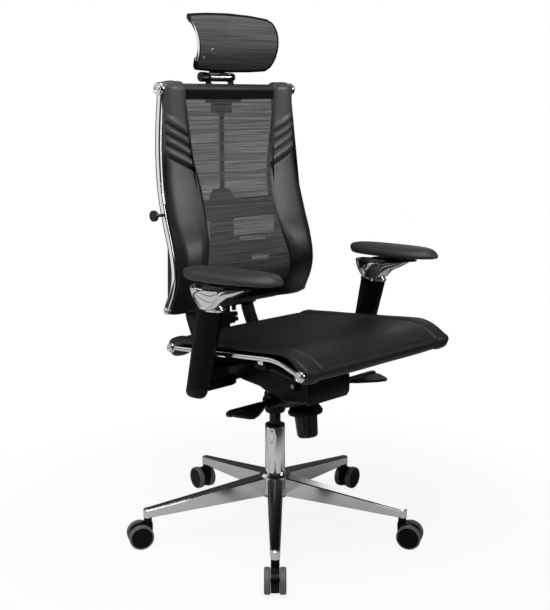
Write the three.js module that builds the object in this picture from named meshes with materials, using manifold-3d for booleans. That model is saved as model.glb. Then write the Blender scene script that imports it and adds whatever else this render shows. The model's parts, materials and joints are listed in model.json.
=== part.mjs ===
// Swivel office chair: a leather and mesh sling on chromed rails for the seat, the back and the
// headrest, a synchronous tilt under the seat, a gas column and a five-star base on twin castors.
// Millimetres, +Z up. The chair faces -Y and its left is +X. The group's origin is on the floor,
// at the centre of the chair's footprint.
import * as THREE from 'three';
import { mergeVertices } from 'three/addons/utils/BufferGeometryUtils.js';
import Module from 'manifold-3d';

const wasm = await Module();
wasm.setup();

// ---------------------------------------------------------------- driving dimensions

const gap = 0.3;                  // between pieces that touch
const softGap = 1.3;              // beside a rail that a cushion edge only runs along
const footprintShift = [-12.5, -11.5];  // column axis from the centre of the footprint

// castors
const wheelDiameter = 60;
const wheelWidth = 15;
const wheelSpacing = 35;          // between the two treads of a castor
const axleDiameter = 8;
const castorTrail = 19.5;         // stem axis to axle
const castorHeight = 74;          // floor to the underside of a leg tip
const stemDiameter = 11;
const stemLength = 17;            // in the leg
const collarDiameter = 20;

// five-star base
const legCount = 5;
const firstLegAngle = 226.2;      // degrees from +X
const legReach = 325;             // column axis to castor stem
const legRootWidth = 40;
const legTipWidth = 22;
const legRootDepth = 51;
const legTipDepth = 21;
const legRise = 57;               // top of the hub above the top of a tip
const legWall = 4.5;
const hubDiameter = 78;
const hubDepth = 60;

// gas column
const tubeDiameter = 50;
const tubeWall = 2;
const tubeTaper = 1;              // loss of radius over the hub
const tubeRise = 121;             // tube above the hub
const bushingRim = 4;
const bushingLength = 70;
const cylinderDiameter = 28;
const cylinderShown = 32.7;       // between the bushing and the tilt housing
const cylinderBelow = 120;        // inside the tube
const socketDepth = 40;           // in the tilt housing

// tilt housing, heights above the underside of its column boss
const bossDiameter = 54;
const housingHalfWidth = 71;
const housingFront = -186;
const housingRear = 62;
const housingFloor = 26;          // underside over the boss
const housingFrontFloor = 68;
const housingRearFloor = 90;
const housingTop = 126;
const reclineAxis = [30, 108];    // y, z
const reclineShaftDiameter = 14;
const seatAxis = [-140, 108];
const seatShaftDiameter = 12;
const knobY = -106;
const knobTilt = 8;               // degrees
const knobDiameter = 56;
const knobLength = 56;
const knobLobes = 10;
const knobFlangeDiameter = 84;
const knobScrew = 6;              // radius of its screw
const leverReach = 146;           // pivot to the rounded end
const leverDepth = 62;            // pivot forward to the edge of the blade
const leverThickness = 6;
const leverRodDiameter = 18;
const leverInset = 13;            // pivot inside the housing's side
const leverSeatDepth = 10;        // pocket beyond the pivot
const heightLeverAt = [-52, 48];  // y, z of the pivot
const tiltLeverAt = [-148, 88];

// seat, heights above the underside of the column boss
const seatHalfWidth = 238;
const seatThickness = 16;
const seatFrontBar = [-326, 201]; // y, z
const seatRearBar = [99, 186];
const seatBarDiameter = 22;
const seatFrontRoll = 37;         // diameters of the sling's rolled ends
const seatRearRoll = 42;
const seatBend = [-250, 241];     // top of the sling where it turns down to the front
const railBend = [-254, 222];     // centre of the rail below it
const seatRailDepth = 10;
const seatRailWidth = 6;
const seatCapDiameter = 24;
const seatCapThickness = 4;

// seat carrier
const panHalfWidth = 126;
const panFront = -196;
const panRear = 66;
const panTop = 156;
const panThickness = 6;
const flangeDepth = 50;
const crossArmWidth = 36;
const frontArmY = -208;
const rearArmY = -8;
const railLugHeight = 8;

// arms
const armOutset = 36;             // edge of the seat to the middle of an arm post
const armLean = 14;               // degrees forward
const armToeIn = 4;               // degrees, fronts towards each other
const armFootY = -28;
const armBlockY = 2;
const armFootBottom = 104;
const armFootHeight = 22;
const armBlockReach = 141;        // middle of the post to the inner end of the foot's block
const armCrossbarWidth = 56;
const sleeveHeight = 180;
const sleeveTop = [37.5, 19];     // half length, half width
const sleeveBottom = [29, 17];
const postHalf = [20, 10];        // inner post, half length and half width
const postRise = 140;
const cupHeight = 52;
const cupHalf = [50, 28];
const cupWall = 4;
const collarHeight = 9;
const bracketNose = -206;         // y of the front tip
const padLength = 280;
const padWidth = 100;
const padThickness = 33;
const padSlope = 3.2;             // degrees, front up
const padCentre = [-149, 389.5];  // y, z of the middle
const plateLength = 190;
const plateWidth = 46;
const plateThickness = 6;
const guideWidth = 22;
const guideDepth = 3;
const padPinDiameter = 18;

// back, heights above the underside of the column boss
const backTop = 781;              // axis of the top bar
const backHeight = 514;           // top bar to bottom bar
const backRailDepth = 17;
const backRailWidth = 5;
const backCapDiameter = 31;
const backCapThickness = 5;
const backBarDiameter = 19;
const meshThickness = 3;
const panelThickness = 16;
const panelTopRoll = 38;          // diameters of its rolled ends
const panelBottomRoll = 25.5;

// centre line of the back rails: share of the height from the top, y
const backLine = [[0, 165.3], [0.18, 168.5], [0.29, 166.3], [0.45, 153.5], [0.6, 132.5],
  [0.72, 112.5], [0.83, 103.1], [0.91, 110.5], [0.98, 127.5], [1.03, 138]];
const backHalfWidths = [[0, 211.5], [0.25, 219], [0.5, 227.5], [1.03, 232]];
const meshHalfWidths = [[0, 142], [0.1, 141], [0.26, 128], [0.42, 111], [0.54, 108],
  [0.68, 116], [0.83, 134], [0.95, 128], [1.03, 118]];

// spine and lumbar beam
const spineY = 188;               // front face of the spine plate
const spineThickness = 12;
const spineHalfWidth = 36;
const spineTop = 536;
const tongueBottom = 174;
const tongueHalfWidth = 20;
const strutFootHalf = 114;        // lower wings, in front of the struts
const strutFootTop = 292;
const strutFootBottom = 234;
const wingHalfWidth = 182;        // upper wings, swept forward behind the mesh
const wingTop = 416;
const wingSweep = 44;             // tip ahead of the spine plate
const wingThickness = 8;
const slitSize = [78, 11];        // under the top edge of each wing, width and height
const slotSize = [51, 16];        // lower, width and height
const catchRadius = 7;            // bolts beside the tongue
const strutWidth = 38;
const strutInner = 74;            // centre plane to the inner edge of a strut
const strutThickness = 8;
const rodDiameter = 12;
const saddleHalfWidth = 45;
const beamZ = 493;                // middle of the beam
const beamHeight = 48;
const beamThickness = 10;
const lumbarKnobDiameter = 26;
const lumbarKnobThickness = 8;
const lumbarStem = 20;            // shown outside the rail
const lumbarStemDiameter = 8;

// headrest
const headPivot = [201, 810];     // y, z of the lower pivot
const headUpperPivot = [214, 847];
const pivotTubeDiameter = 22;
const pivotTubeLength = 66;
const linkBarrelLength = 66;
const lugThickness = 5;
const headKnobDiameter = 24;
const headKnobLength = 20;
const headNutThickness = 9;
const headBoltDiameter = 9;
const headRadius = 69;            // of the curved front, seen from the side
const headFront = 120;            // y of its foremost point
const headMiddle = 886;           // z of its foremost point
const headTop = 64;               // top corners above the middle
const headBottom = 60;            // below the middle
const headTopCrown = 8;           // middle of the top edge above its corners
const headBottomCrown = 5;
const headCorner = 8;
const headTopHalfWidth = 134;
const headBottomHalfWidth = 120;
const headRimWidth = 3.5;
const headRimDepth = 9;
const headMeshThickness = 3;
const headStrapHalfWidth = 50;

// ---------------------------------------------------------------- geometry helpers

const deg = THREE.MathUtils.degToRad;
const lerp = THREE.MathUtils.lerp;

// A closed geometry as a manifold solid, with its faces turned outward.
function solid(geometry) {
  let g = geometry.clone();
  for (const name of Object.keys(g.attributes)) if (name !== 'position') g.deleteAttribute(name);
  g = mergeVertices(g, 1e-3);
  const p = g.attributes.position;
  const ids = [];
  let volume = 0;
  const [a, b, c] = [new THREE.Vector3(), new THREE.Vector3(), new THREE.Vector3()];
  for (let i = 0; i < g.index.count; i += 3) {
    const t = [g.index.getX(i), g.index.getX(i + 1), g.index.getX(i + 2)];
    if (t[0] === t[1] || t[1] === t[2] || t[2] === t[0]) continue;
    ids.push(...t);
    a.fromBufferAttribute(p, t[0]);
    b.fromBufferAttribute(p, t[1]);
    c.fromBufferAttribute(p, t[2]);
    volume += a.dot(b.cross(c)) / 6;
  }
  if (volume < 0) ids.reverse();
  return new wasm.Manifold(new wasm.Mesh({
    numProp: 3, vertProperties: new Float32Array(p.array), triVerts: new Uint32Array(ids),
  }));
}

function geometryOf(manifold) {
  const m = manifold.getMesh();
  const g = new THREE.BufferGeometry();
  const xyz = new Float32Array(m.numVert * 3);
  for (let i = 0; i < m.numVert; i += 1) {
    for (let k = 0; k < 3; k += 1) xyz[3 * i + k] = m.vertProperties[m.numProp * i + k];
  }
  g.setAttribute('position', new THREE.BufferAttribute(xyz, 3));
  g.setIndex(Array.from(m.triVerts));
  g.computeVertexNormals();
  return g;
}

const join = (...parts) => parts.reduce((a, b) => a.add(b));
const cut = (body, ...tools) => tools.reduce((a, b) => a.subtract(b), body);

// Outline in a plane, given as [u, v] pairs, carried from one value of the third axis to another.
function prism(outline, from, to, basis) {
  const shape = new THREE.Shape(outline.map(([u, v]) => new THREE.Vector2(u, v)));
  const g = new THREE.ExtrudeGeometry(shape, { depth: Math.abs(to - from), bevelEnabled: false });
  return solid(g.applyMatrix4(new THREE.Matrix4().makeBasis(...basis)));
}
const X = new THREE.Vector3(1, 0, 0);
const Y = new THREE.Vector3(0, 1, 0);
const Z = new THREE.Vector3(0, 0, 1);
// outline (y, z) along x; outline (x, z) along y; outline (x, y) along z
const prismX = (yz, x0, x1) => prism(yz, x0, x1, [Y, Z, X]).translate([Math.min(x0, x1), 0, 0]);
const prismY = (xz, y0, y1) =>
  prism(xz, y0, y1, [X, Z, Y.clone().negate()]).translate([0, Math.max(y0, y1), 0]);
const prismZ = (xy, z0, z1) => prism(xy, z0, z1, [X, Y, Z]).translate([0, 0, Math.min(z0, z1)]);

// Profile of [radius, height] pairs turned about +Z.
function revolve(profile, sides = 24) {
  const points = profile.map(([r, z]) => new THREE.Vector2(r, z));
  if (profile[0][0] > 0) points.push(points[0].clone());
  return solid(new THREE.LatheGeometry(points, sides).rotateX(Math.PI / 2));
}

function barX(radius, x0, x1, y, z, sides = 20) {
  const g = new THREE.CylinderGeometry(radius, radius, x1 - x0, sides).rotateZ(Math.PI / 2);
  return solid(g.translate((x0 + x1) / 2, y, z));
}

function box(x0, x1, y0, y1, z0, z1) {
  const g = new THREE.BoxGeometry(x1 - x0, y1 - y0, z1 - z0);
  return solid(g.translate((x0 + x1) / 2, (y0 + y1) / 2, (z0 + z1) / 2));
}

// Rings of the same number of [x, y, z] points, skinned one to the next and closed at both ends.
function loft(rings) {
  const n = rings[0].length;
  const middle = (ring) => [0, 1, 2].map((k) => ring.reduce((s, p) => s + p[k], 0) / n);
  const ends = [middle(rings[0]), middle(rings[rings.length - 1])];
  const points = [...rings.flat(), ...ends];
  const index = [];
  for (let i = 0; i < rings.length - 1; i += 1) {
    for (let j = 0; j < n; j += 1) {
      const [a, b] = [i * n + j, i * n + (j + 1) % n];
      index.push(a, b, b + n, a, b + n, a + n);
    }
  }
  const last = (rings.length - 1) * n;
  for (let j = 0; j < n; j += 1) {
    index.push(rings.length * n, (j + 1) % n, j);
    index.push(rings.length * n + 1, last + j, last + (j + 1) % n);
  }
  const g = new THREE.BufferGeometry();
  g.setAttribute('position', new THREE.Float32BufferAttribute(points.flat(), 3));
  g.setIndex(index);
  return solid(g);
}

// Two grids of [x, y, z] points, of the same size, as the two faces of one closed slab.
function slab(front, back) {
  const [n, m] = [front.length, front[0].length];
  const points = [...front.flat(), ...back.flat()];
  const index = [];
  const quad = (a, b, c, d) => index.push(a, b, c, a, c, d);
  const [f, k] = [(i, j) => i * m + j, (i, j) => n * m + i * m + j];
  for (let i = 0; i < n - 1; i += 1) {
    for (let j = 0; j < m - 1; j += 1) {
      quad(f(i, j), f(i, j + 1), f(i + 1, j + 1), f(i + 1, j));
      quad(k(i, j), k(i + 1, j), k(i + 1, j + 1), k(i, j + 1));
    }
    quad(f(i, 0), f(i + 1, 0), k(i + 1, 0), k(i, 0));
    quad(f(i, m - 1), k(i, m - 1), k(i + 1, m - 1), f(i + 1, m - 1));
  }
  for (let j = 0; j < m - 1; j += 1) {
    quad(f(0, j), k(0, j), k(0, j + 1), f(0, j + 1));
    quad(f(n - 1, j), f(n - 1, j + 1), k(n - 1, j + 1), k(n - 1, j));
  }
  const g = new THREE.BufferGeometry();
  g.setAttribute('position', new THREE.Float32BufferAttribute(points.flat(), 3));
  g.setIndex(index);
  return solid(g);
}

// Points of a superellipse with half axes a and b: power 2 is an ellipse, more is squarer.
function oval(a, b, power = 2, sides = 20) {
  return Array.from({ length: sides }, (_, i) => {
    const t = (2 * Math.PI * i) / sides;
    const wave = (v) => Math.sign(v) * Math.abs(v) ** (2 / power);
    return [a * wave(Math.cos(t)), b * wave(Math.sin(t))];
  });
}

// Rectangle with cut corners, as [u, v] pairs.
function chamfered(u0, u1, v0, v1, c) {
  return [[u0 + c, v0], [u1 - c, v0], [u1, v0 + c], [u1, v1 - c],
    [u1 - c, v1], [u0 + c, v1], [u0, v1 - c], [u0, v0 + c]];
}

// Smooth function through [t, value] pairs.
function through(pairs) {
  return (t) => {
    const n = pairs.length;
    let i = 0;
    while (i < n - 2 && t > pairs[i + 1][0]) i += 1;
    const slope = (k) => {
      const [a, b] = [Math.max(k - 1, 0), Math.min(k + 1, n - 1)];
      return (pairs[b][1] - pairs[a][1]) / (pairs[b][0] - pairs[a][0]);
    };
    const [[t0, v0], [t1, v1]] = [pairs[i], pairs[i + 1]];
    const h = t1 - t0;
    const s = THREE.MathUtils.clamp((t - t0) / h, 0, 1);
    return v0 * (1 + 2 * s) * (1 - s) ** 2 + v1 * s * s * (3 - 2 * s)
      + h * s * (1 - s) * (slope(i) * (1 - s) - slope(i + 1) * s);
  };
}

// Band of a given thickness to each side of a line of [u, v] points.
function band(line, before, after = before) {
  const sides = line.map(([u, v], i) => {
    const [p, q] = [line[Math.max(i - 1, 0)], line[Math.min(i + 1, line.length - 1)]];
    const length = Math.hypot(q[0] - p[0], q[1] - p[1]);
    const [nu, nv] = [-(q[1] - p[1]) / length, (q[0] - p[0]) / length];
    return [[u - nu * before, v - nv * before], [u + nu * after, v + nv * after]];
  });
  return [...sides.map((s) => s[0]), ...sides.map((s) => s[1]).reverse()];
}

const steps = (n, f) => Array.from({ length: n + 1 }, (_, i) => f(i / n));
const mirror = (body) => body.mirror([1, 0, 0]);

// ---------------------------------------------------------------- assembly helpers

function group(parent, x = 0, y = 0, z = 0) {
  const g = new THREE.Group();
  g.position.set(x, y, z);
  parent.add(g);
  return g;
}

function piece(parent, name, body, color, roughness, metalness) {
  const material = new THREE.MeshStandardMaterial({ color, roughness, metalness });
  const m = new THREE.Mesh(geometryOf(body), material);
  m.name = name;
  parent.add(m);
  return m;
}

const chrome = [0xd4d2cf, 0.08, 1];
const polished = [0xc2c0bc, 0.16, 1];
const blackMetal = [0x141414, 0.38, 0.4];
const blackPlastic = [0x161616, 0.5, 0];
const greyTyre = [0x55575a, 0.6, 0];
const leather = [0x1d1c1c, 0.5, 0];
const meshCloth = [0x2c2b2b, 0.8, 0];

const chair = new THREE.Group();
chair.name = 'swivel_office_chair';
const column = group(chair, ...footprintShift, 0);

// ---------------------------------------------------------------- five-star base

const tipTop = castorHeight + legTipDepth;
const hubTop = tipTop + legRise;
const hubBottom = hubTop - hubDepth;
const tubeTop = hubTop + tubeRise;
const tubeRadiusAt = (z) => tubeDiameter / 2 - tubeTaper * Math.max(0, (hubTop - z) / hubDepth);

// One leg lies along +X. Its flat top and both sides taper from the hub to the round tip.
function leg() {
  const ring = (x, inset, floorInset) => {
    const s = x / legReach;
    const half = lerp(legRootWidth, legTipWidth, s) / 2 - inset;
    const top = hubTop - 2 - (legRise - 2) * s - inset;
    const bottom = top + inset - lerp(legRootDepth, legTipDepth, s) + floorInset;
    return [half, bottom, top];
  };
  const rim = ([half, bottom, top], x) =>
    chamfered(-half, half, bottom, top, 2.5).map(([y, z]) => [x, y, z]);
  const square = ([half, bottom, top], x) =>
    [[-half, bottom], [half, bottom], [half, top], [-half, top]].map(([y, z]) => [x, y, z]);
  const bar = loft([8, legReach].map((x) => rim(ring(x, 0, 0), x)));
  const channelEnds = [hubDiameter / 2 + 6, legReach - 1.4 * collarDiameter];
  const channel = loft(channelEnds.map((x) => square(ring(x, legWall, -4), x)));
  const tip = revolve([[0, castorHeight], [legTipWidth / 2, castorHeight],
    [legTipWidth / 2, tipTop - 2], [legTipWidth / 2 - 2, tipTop], [0, tipTop]], 12)
    .translate([legReach, 0, 0]);
  const hole = revolve([[0, castorHeight - 1], [stemDiameter / 2 + gap, castorHeight - 1],
    [stemDiameter / 2 + gap, castorHeight + stemLength + gap],
    [0, castorHeight + stemLength + gap]], 10).translate([legReach, 0, 0]);
  return cut(join(cut(bar, channel), tip), hole);
}

const hubRadius = hubDiameter / 2;
const hub = revolve([[0, hubBottom], [hubRadius - 6, hubBottom], [hubRadius, hubBottom + 10],
  [hubRadius, hubTop - 6], [hubRadius - 6, hubTop], [0, hubTop]], 24);
const bore = revolve([[0, hubBottom - 1], [tubeRadiusAt(hubBottom) + gap, hubBottom - 1],
  [tubeRadiusAt(hubTop) + gap, hubTop + 1], [0, hubTop + 1]], 24);
const legAngles = Array.from({ length: legCount }, (_, i) => firstLegAngle + (360 / legCount) * i);
const legs = legAngles.map((angle) => leg().rotate([0, 0, angle]));
piece(column, 'star_base', cut(join(hub, ...legs), bore), ...polished);

// ---------------------------------------------------------------- castors

// A castor is built with its stem on the z axis and its axle behind the stem along +X.
const wheelRadius = wheelDiameter / 2;
const forkHalf = (wheelSpacing - wheelWidth) / 2 - gap;
const axleHalf = (wheelSpacing + wheelWidth) / 2 - 5;

function castorHousing() {
  const hood = oval(wheelRadius - 3, wheelRadius - 3, 2, 16)
    .map(([x, z]) => [castorTrail + x, wheelRadius + z]);
  const nose = castorTrail - (wheelRadius - 3);
  const neck = [[nose, wheelRadius + 2], [castorTrail + 2, wheelRadius + 2],
    [castorTrail + 2, 2 * wheelRadius - 3], [collarDiameter / 2, 2 * wheelRadius + 1],
    [-collarDiameter / 2, 2 * wheelRadius + 1], [-collarDiameter / 2, wheelRadius + 14]];
  const body = join(prismY(hood, -forkHalf, forkHalf), prismY(neck, -forkHalf, forkHalf));
  const collarTop = castorHeight - gap;
  const stem = revolve([[0, 2 * wheelRadius - 4], [collarDiameter / 2, 2 * wheelRadius - 4],
    [collarDiameter / 2, collarTop], [stemDiameter / 2, collarTop],
    [stemDiameter / 2, castorHeight + stemLength], [0, castorHeight + stemLength]], 10);
  const axle = solid(new THREE.CylinderGeometry(axleDiameter / 2, axleDiameter / 2, 2 * axleHalf, 8)
    .translate(castorTrail, 0, wheelRadius));
  return join(body, stem, axle);
}

// A wheel turns about +Z here: its tread is flat-sided, and its dished outer face is closed.
function wheel(sides = 18) {
  const r = wheelRadius / Math.cos(Math.PI / sides);
  const w = wheelWidth / 2;
  const holeEnd = axleHalf - wheelSpacing / 2 + gap;
  return revolve([[0, holeEnd], [axleDiameter / 2 + gap, holeEnd], [axleDiameter / 2 + gap, -w],
    [r, -w], [r, w - 2.5], [r - 4, w], [r - 7, w - 2], [0, w - 2]], sides);
}

legAngles.forEach((angle, i) => {
  const castor = group(column, legReach * Math.cos(deg(angle)), legReach * Math.sin(deg(angle)), 0);
  castor.rotation.z = deg(angle);
  piece(castor, `castor_${i + 1}_housing`, castorHousing(), ...blackPlastic);
  for (const [name, side] of [['left', 1], ['right', -1]]) {
    const w = piece(castor, `castor_${i + 1}_wheel_${name}`, wheel(), ...greyTyre);
    w.position.set(castorTrail, side * (wheelSpacing / 2), wheelRadius);
    w.rotation.set(-side * Math.PI / 2, 0, 0);
    w.rotateZ(Math.PI / 18);
  }
});

// ---------------------------------------------------------------- gas column

const tubeBottom = hubBottom - 6;
const tubeBore = tubeDiameter / 2 - tubeTaper - tubeWall;
piece(column, 'column_tube', revolve([[0, tubeBottom], [tubeRadiusAt(tubeBottom), tubeBottom],
  [tubeDiameter / 2, hubTop], [tubeDiameter / 2, tubeTop - 1], [tubeDiameter / 2 - 1, tubeTop],
  [tubeBore, tubeTop], [tubeBore, tubeBottom + 4], [0, tubeBottom + 4]], 24), ...chrome);

const cylinderRadius = cylinderDiameter / 2;
const bushingTop = tubeTop + gap + bushingRim;
piece(column, 'column_bushing', revolve([
  [cylinderRadius + gap, tubeTop - bushingLength], [tubeBore - gap, tubeTop - bushingLength],
  [tubeBore - gap, tubeTop + gap], [tubeDiameter / 2 - 0.5, tubeTop + gap],
  [tubeDiameter / 2 - 0.5, bushingTop - 1], [tubeDiameter / 2 - 1.5, bushingTop],
  [cylinderRadius + gap, bushingTop]], 20), ...blackPlastic);

const bossBottom = bushingTop + cylinderShown;
piece(column, 'gas_cylinder', revolve([[0, tubeTop - cylinderBelow],
  [cylinderRadius, tubeTop - cylinderBelow], [cylinderRadius, bossBottom + socketDepth],
  [0, bossBottom + socketDepth]], 20), ...blackMetal);

// ---------------------------------------------------------------- tilt housing

const upper = group(column, 0, 0, bossBottom);
const leverX = housingHalfWidth - leverInset;

// A cast tray with cut corners carries both shafts. Below it a narrower keel runs from the knob
// to the column boss, and its floor sweeps up behind the column.
function tiltHousing() {
  const top = housingTop;
  const halfAt = (y) => housingHalfWidth - 10 * THREE.MathUtils.smoothstep(y, -100, 0);
  const trayFloor = through([[housingFront, housingFrontFloor], [knobY, 56], [-40, 62],
    [reclineAxis[0], housingRearFloor], [housingRear, housingRearFloor + 6]]);
  const keelRear = bossDiameter / 2 + 4;
  const keelFloor = through([[housingFront + 20, housingFrontFloor - 4],
    [knobY, housingFloor + 8], [-40, housingFloor], [10, housingFloor + 8],
    [keelRear, housingRearFloor - 30]]);
  const ring = (y, half, floor, inset, corner) =>
    chamfered(inset - half, half - inset, floor + inset, top - inset, corner)
      .map(([x, z]) => [x, y, z]);
  const ys = steps(3, (t) => lerp(housingFront + 4, housingRear - 4, t));
  const tray = loft([ring(housingFront, halfAt(housingFront), trayFloor(housingFront), 5, 9),
    ...ys.map((y) => ring(y, halfAt(y), trayFloor(y), 0, 9)),
    ring(housingRear, halfAt(housingRear), trayFloor(housingRear), 5, 9)]);
  const keelYs = steps(5, (t) => lerp(housingFront + 20, keelRear, t));
  const keelHalf = (y) => halfAt(y) - 5 - 26 * THREE.MathUtils.smoothstep(y, -50, keelRear);
  const keel = loft(keelYs.map((y) => ring(y, keelHalf(y), keelFloor(y), 8, 12)));
  const boss = revolve([[0, 0], [bossDiameter / 2 - 3, 0], [bossDiameter / 2, 8],
    [bossDiameter / 2, housingFloor + 22], [0, housingFloor + 22]], 16);
  const socket = revolve([[0, -1], [cylinderRadius + gap, -1],
    [cylinderRadius + gap, socketDepth + gap], [0, socketDepth + gap]], 20);
  const flange = revolve([[0, 0], [knobFlangeDiameter / 2 - 2, 0], [knobFlangeDiameter / 2, 2],
    [knobFlangeDiameter / 2, 9], [26, 34], [0, 34]], 16);
  const screwHole = revolve([[0, -1], [knobScrew + gap, -1], [knobScrew + gap, 16], [0, 16]], 20);
  const onKnob = (body) => body.rotate([-knobTilt, 0, 0]).translate([0, knobY, knobTop]);
  const shaft = ([y, z], d) =>
    barX(d / 2 + gap, -housingHalfWidth - 1, housingHalfWidth + 1, y, z, 14);
  const r = leverRodDiameter / 2 + gap;
  const [x0, x1] = [leverX - leverSeatDepth, housingHalfWidth + leverRodDiameter];
  const pocket = ([y, z], side) => box(Math.min(side * x0, side * x1),
    Math.max(side * x0, side * x1), y - r, y + r, z - r - gap, z + r + gap);
  const hub = barX(leverRodDiameter / 2 + 9, -housingHalfWidth - 1, housingHalfWidth + 1,
    heightLeverAt[0] + 3, heightLeverAt[1] + 2, 16);
  return cut(join(tray, keel, boss, hub, onKnob(flange)), socket, onKnob(screwHole),
    shaft(reclineAxis, reclineShaftDiameter), shaft(seatAxis, seatShaftDiameter),
    pocket(heightLeverAt, -1), pocket(tiltLeverAt, 1));
}
const knobTop = housingFloor - 8;
piece(upper, 'tilt_housing', tiltHousing(), ...blackMetal);

const strutOuter = strutInner + strutWidth;
piece(upper, 'recline_shaft', barX(reclineShaftDiameter / 2, -strutOuter, strutOuter,
  ...reclineAxis, 14), ...blackMetal);
const earOuter = housingHalfWidth + 9;
piece(upper, 'seat_shaft', barX(seatShaftDiameter / 2, -earOuter, earOuter, ...seatAxis, 14),
  ...blackMetal);

// Hand knob for the spring tension, with shallow flutes and a slight draught.
function tensionKnob() {
  const r = knobDiameter / 2;
  const outline = Array.from({ length: knobLobes * 4 }, (_, i) => {
    const radius = i % 4 === 0 ? r - 2.5 : r;
    const t = (2 * Math.PI * (i + [0, -0.3, 0, 0.3][i % 4])) / (knobLobes * 4);
    return [radius * Math.cos(t), radius * Math.sin(t), 0];
  });
  const ring = (z, scale) => outline.map(([x, y]) => [x * scale, y * scale, z]);
  const grip = loft([ring(-gap, 1), ring(-knobLength + 5, 0.9), ring(-knobLength, 0.8)]);
  const screw = revolve([[0, -5], [knobScrew, -5], [knobScrew, 14], [0, 14]], 10);
  return join(grip, screw);
}
const knob = piece(upper, 'tension_knob', tensionKnob(), ...blackPlastic);
knob.position.set(0, knobY, knobTop);
knob.rotation.x = -deg(knobTilt);

// Levers: a barrel in the housing, a round rod that ends in a dome, and a flat blade that
// spreads forward from the rod.
function lever() {
  const r = leverRodDiameter / 2;
  const end = leverReach;
  const barrel = solid(new THREE.CylinderGeometry(r, r, 2 * r, 16));
  const rod = revolve([[0, 4], [6, 4], [6, 16], [r - 1, 40], [r, end - 12], [r - 3, end - 2],
    [0, end]], 12).rotate([0, 90, 0]);
  const blade = prismZ([[26, 0], [end - 8, 0], [end - 6, -0.35 * leverDepth],
    [end - 20, -0.9 * leverDepth], [end - 30, -leverDepth], [end - 54, -0.84 * leverDepth],
    [52, -0.42 * leverDepth], [34, -6]], -leverThickness / 2, leverThickness / 2);
  return join(barrel, rod, blade);
}
const heightLever = piece(upper, 'height_lever', mirror(lever()), ...blackPlastic);
heightLever.position.set(-leverX, ...heightLeverAt);
const tiltLever = piece(upper, 'tilt_lever', lever(), ...blackPlastic);
tiltLever.position.set(leverX, ...tiltLeverAt);

// ---------------------------------------------------------------- seat

const railX = seatHalfWidth + gap;
const armHalfSpan = seatHalfWidth + armOutset;  // chair's centre plane to the middle of a post
const railTop = seatRailDepth / 2;
const frontRoll = seatFrontRoll / 2;
const rearRoll = seatRearRoll / 2;
const railLine = [seatRearBar, railBend, seatFrontBar];
const railZ = (y) => (y > railBend[0]
  ? lerp(railBend[1], seatRearBar[1], (y - railBend[0]) / (seatRearBar[0] - railBend[0]))
  : lerp(seatFrontBar[1], railBend[1], (y - seatFrontBar[0]) / (railBend[0] - seatFrontBar[0])));

// Flat chromed rail that kinks down to the front, with a round cap on each end of the bars.
function seatRail() {
  const centre = steps(5, (t) => {
    const reach = 26;
    const start = [railBend[0] + reach, railZ(railBend[0] + reach)];
    const end = [railBend[0] - reach, railZ(railBend[0] - reach)];
    const curve = new THREE.QuadraticBezierCurve(new THREE.Vector2(...start),
      new THREE.Vector2(...railBend), new THREE.Vector2(...end));
    const p = curve.getPoint(t);
    return [p.x, p.y];
  });
  const line = [seatRearBar, ...centre, seatFrontBar];
  const bar = prismX(band(line, seatRailDepth / 2), railX, railX + seatRailWidth);
  const cap = ([y, z]) => join(
    barX(seatCapDiameter / 2, railX, railX + seatRailWidth, y, z, 16),
    barX(seatCapDiameter / 2 - 1.5, railX, railX + seatRailWidth + seatCapThickness, y, z, 16));
  const lug = (y) => box(railX, railX + seatRailWidth, y - 9, y + 9,
    railZ(y) - seatRailDepth / 2 - railLugHeight, railZ(y));
  return join(bar, cap(seatRearBar), cap(seatFrontBar), lug(frontArmY), lug(rearArmY));
}
piece(upper, 'seat_rail_left', seatRail(), ...chrome);
piece(upper, 'seat_rail_right', mirror(seatRail()), ...chrome);

const seatBar = ([y, z]) => barX(seatBarDiameter / 2, -seatHalfWidth, seatHalfWidth, y, z, 16);
piece(upper, 'seat_front_bar', seatBar(seatFrontBar), ...blackMetal);
piece(upper, 'seat_rear_bar', seatBar(seatRearBar), ...blackMetal);

// The sling rolls round both bars, and lies straight from the rear bar to the bend.
function seatSling() {
  const lip = new THREE.QuadraticBezierCurve(new THREE.Vector2(...seatBend),
    new THREE.Vector2(lerp(seatBend[0], seatFrontBar[0], 0.55), seatBend[1] + 5),
    new THREE.Vector2(seatFrontBar[0] - 5, seatFrontBar[1] + frontRoll - 1));
  const top = [[seatRearBar[0], seatRearBar[1] + rearRoll - 1],
    ...steps(6, (t) => lip.getPoint(t).toArray())];
  const bottom = top.map(([y, z]) => [y, z - seatThickness]).reverse();
  const slab = prismX([...top, ...bottom], -seatHalfWidth, seatHalfWidth);
  const roll = ([y, z], r) => barX(r, -seatHalfWidth, seatHalfWidth, y, z, 20);
  const hole = ([y, z]) => barX(seatBarDiameter / 2 + gap, -seatHalfWidth - 1,
    seatHalfWidth + 1, y, z, 16);
  return cut(join(slab, roll(seatRearBar, rearRoll), roll(seatFrontBar, frontRoll)),
    hole(seatRearBar), hole(seatFrontBar));
}
piece(upper, 'seat_sling', seatSling(), ...leather);

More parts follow.
